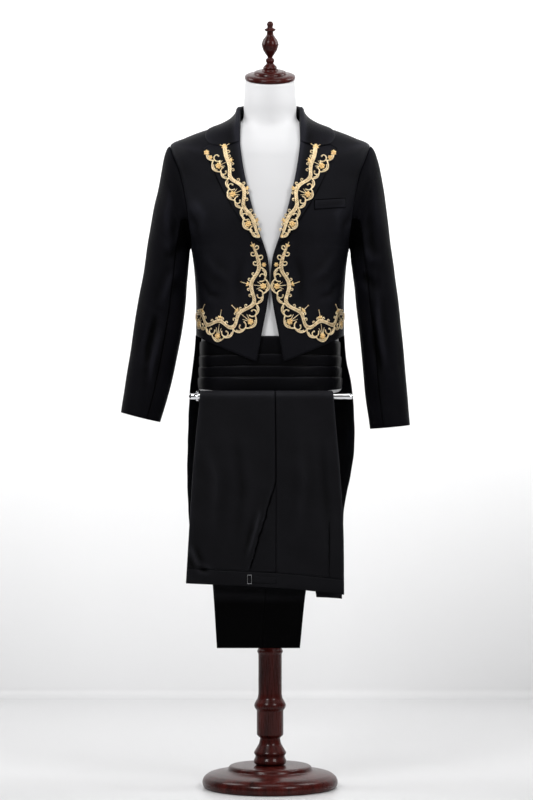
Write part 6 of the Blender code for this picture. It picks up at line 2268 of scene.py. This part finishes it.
    def filling(self, gold: Needlework, band: Band, bay: Bay) -> None:
        """A bay's rosette, the two C-scrolls beside it, and the curls and bud behind the vine.

        Args:
            gold: The panel's gold.
            band: Where the band runs.
            bay: The bay.
        """
        start, run = band.span(bay)
        middle = start + run / 2
        size = min(1.0, run / 0.05)
        heart, crest = band.at(middle, 0.55), bay.vine(0.5)
        for way in (-1, 1):
            foot = band.at(middle + way * 0.12 * run, 0.12)
            gold.curl(foot, band.at(middle + way * 0.25 * run, 0.28), way, self.cord * 0.95)
            if bay.opens:
                gold.stroke("cord", mix(heart, foot, np.linspace(0, 1, 6)[:, None]), self.cord * 0.9)
            for share, reach in ((0.14, 0.0030), (0.31, 0.0036)):
                spot = 0.5 + way * share
                across = bay.vine(spot)
                gold.curl(band.at(start + spot * run, across, -0.0030),
                          band.at(start + (spot + way * 0.02) * run, across, -0.0034 - reach), way * -1.0,
                          self.cord * 0.72)
        for lean in (-0.10, 0.0, 0.10):
            reach = crest * 0.62 if lean == 0 else -0.12
            stamen = mix(heart, band.at(middle + lean * run, reach), np.linspace(0, 1, 7)[:, None])
            gold.stroke("cord", stamen, np.linspace(*gold.spike, 7))
        gold.flower(heart, self.rosette * size, 0.3)
        spike = 0.0185 if bay.bud else 0.0065
        foot = band.at(middle, crest, -self.bud_gap)
        gold.bud(foot, band.at(middle - 0.05 * run, crest, -self.bud_gap - spike))

    def ends(self, gold: Needlework, band: Band, bays: Sequence[Bay]) -> None:
        """The sprig or flower at each end of a band.

        Args:
            gold: The panel's gold.
            band: Where the band runs.
            bays: The bays along it.
        """
        if bays[0].start > 0:
            lead = bays[0].start * band.length
            for share, way, reach in self.sprig:
                foot = band.at(share * lead, 0.0, way * 0.0020)
                centre = band.at((share - 0.08) * lead, 0.0, way * (0.0020 + reach))
                gold.curl(foot, centre, -way, self.cord * 0.85)
            gold.bud(band.at(0.0, 0.0), band.at(0.0, 0.0) + np.array([0.004, 0.009]))
            gold.flower(band.at(0.90 * lead, 0.75), 0.0052, 0.0)
        else:
            gold.flower(band.at(0.003, 0.1), 0.0036, 0.0)
        last = bays[-1]
        if last.opens:
            top, across = band.length, last.vine(1.0)
            gold.flower(band.at(top - 0.001, 1.0, 0.0015), 0.0064, 0.5)
            gold.flower(band.at(top - 0.013, 0.96, 0.0), 0.0050, 0.1)
            foot = band.at(top, across)
            gold.bud(foot, foot + np.array([-0.010, 0.006]))
            gold.bud(foot, foot + np.array([0.009, 0.004]))
        else:
            gold.flower(band.at(band.length - 0.003, 0.1), 0.0058, 0.2)


# ------------------------------------------------------------------ the studio
@dataclass
class Studio:
    """A pale floor and wall, soft lights, and the camera at the photograph's place."""

    camera: tuple[float, float, float] = (-0.008, -6.5, 0.94)
    pitch: float = math.radians(-0.6)
    lens: float = 130.0
    wall_y: float = 1.75
    room: float = 0.10
    size: float = 6.0
    # backdrop colours by height, darker towards the floor: painted shade
    paint: tuple[tuple[float, tuple[float, float, float]], ...] = (
        (0.0, (0.58, 0.58, 0.585)), (0.03, (0.72, 0.72, 0.725)), (1.0, (0.93, 0.93, 0.93)))
    lamps: tuple[tuple[str, tuple[float, float, float], tuple[float, float, float], float, float], ...] = (
        ("key", (-1.9, -3.6, 3.5), (0.0, 0.0, 1.20), 1.3, 104.0),
        ("fill", (2.5, -3.2, 2.9), (0.0, 0.0, 1.15), 1.4, 70.0),
        ("top", (0.2, -0.9, 3.7), (0.0, 0.0, 1.2), 1.6, 26.0),
        ("wall_left", (-1.9, 0.35, 2.5), (-0.1, 1.75, 1.5), 1.2, 42.0),
        ("wall_right", (1.9, 0.35, 2.5), (0.1, 1.75, 1.5), 1.2, 42.0))

    def build(self) -> None:
        """Make the backdrop, the lights and the camera."""
        self.backdrop()
        self.lights()
        self.view()

    def backdrop(self) -> None:
        """A floor that turns up into a wall."""
        shade = Shade("studio_white", Specular_IOR_Level=0.35)
        solid = shade.coordinate("Object")
        cloud = shade.noise(solid, 0.8, 2.0)
        # the floor and low wall are painted darker than the upper wall: painted shade
        height = (shade.part(solid, "Z") * 0.9 + cloud * 0.04 - 0.02).clamp(0.0, 1.0)
        shade.feed("Base Color", shade.colours(height, *self.paint))
        shade.feed("Roughness", (height * 6.0 + 0.30).clamp(0.0, 0.8))
        shade.clear_behind()
        bm = bmesh.new()
        floor = bmesh.ops.create_grid(bm, x_segments=1, y_segments=1, size=self.size)
        bmesh.ops.translate(bm, verts=floor["verts"], vec=(0, self.wall_y - self.size, 0))
        back = [edge for edge in bm.edges if all(v.co.y > self.wall_y - 0.01 for v in edge.verts)]
        raised = bmesh.ops.extrude_edge_only(bm, edges=back)
        top = [v for v in raised["geom"] if isinstance(v, bmesh.types.BMVert)]
        bmesh.ops.translate(bm, verts=top, vec=(0, 0, self.size))
        bmesh.ops.bevel(bm, geom=back, offset=0.03, offset_type="OFFSET", affect="EDGES", segments=10,
                        profile=0.5, material=-1)
        bmesh.ops.recalc_face_normals(bm, faces=bm.faces)
        if max(bm.faces, key=lambda face: face.calc_area()).normal.z < 0:
            bmesh.ops.reverse_faces(bm, faces=bm.faces)
        new_object("studio_backdrop", bm, shade.material)

    def lights(self) -> None:
        """Soft boxes in front and at both sides, lamps for the wall alone, and a dim room around."""
        world = bpy.data.worlds.new("studio_air")
        world.use_nodes = True
        world.node_tree.nodes["Background"].inputs["Color"].default_value = (1.0, 1.0, 1.0, 1)
        world.node_tree.nodes["Background"].inputs["Strength"].default_value = self.room
        bpy.context.scene.world = world
        for name, place, target, size, power in self.lamps:
            lamp = bpy.data.lights.new(f"{name}_light", "AREA")
            lamp.energy, lamp.size = power, size
            light = bpy.data.objects.new(f"{name}_light", lamp)
            light.location = place
            light.rotation_euler = (Vector(target) - Vector(place)).to_track_quat("-Z", "Y").to_euler()
            bpy.context.scene.collection.objects.link(light)

    def view(self) -> None:
        """The camera."""
        lens = bpy.data.cameras.new("photo_camera")
        lens.lens, lens.sensor_width = self.lens, 36.0
        camera = bpy.data.objects.new("photo_camera", lens)
        camera.location = self.camera
        camera.rotation_euler = (PI / 2 + self.pitch, 0, 0)
        bpy.context.scene.collection.objects.link(camera)
        bpy.context.scene.camera = camera
        bpy.context.scene.view_settings.view_transform = "Standard"


def main() -> None:
    """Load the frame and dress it."""
    logging.basicConfig(level=logging.INFO, format="%(name)s: %(message)s")
    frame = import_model()
    Studio().build()
    wardrobe = Wardrobe()
    form = DressForm(wardrobe)
    form.build()
    body = CoatBody(wardrobe)
    body.build()
    lapels = Lapels(wardrobe, body)
    lapels.build()
    Sleeves(wardrobe, body).build()
    BreastPocket(wardrobe, body).build()
    Cummerbund(wardrobe, form).build()
    Trousers(wardrobe, form).build()
    Scrollwork(wardrobe, body, lapels).build()
    for side in Side:
        hook = frame["nodes"][f"waist_hook_{side.label}"]
        for slot in hook.material_slots:
            slot.material = wardrobe.chrome


if __name__ == "__main__":
    main()
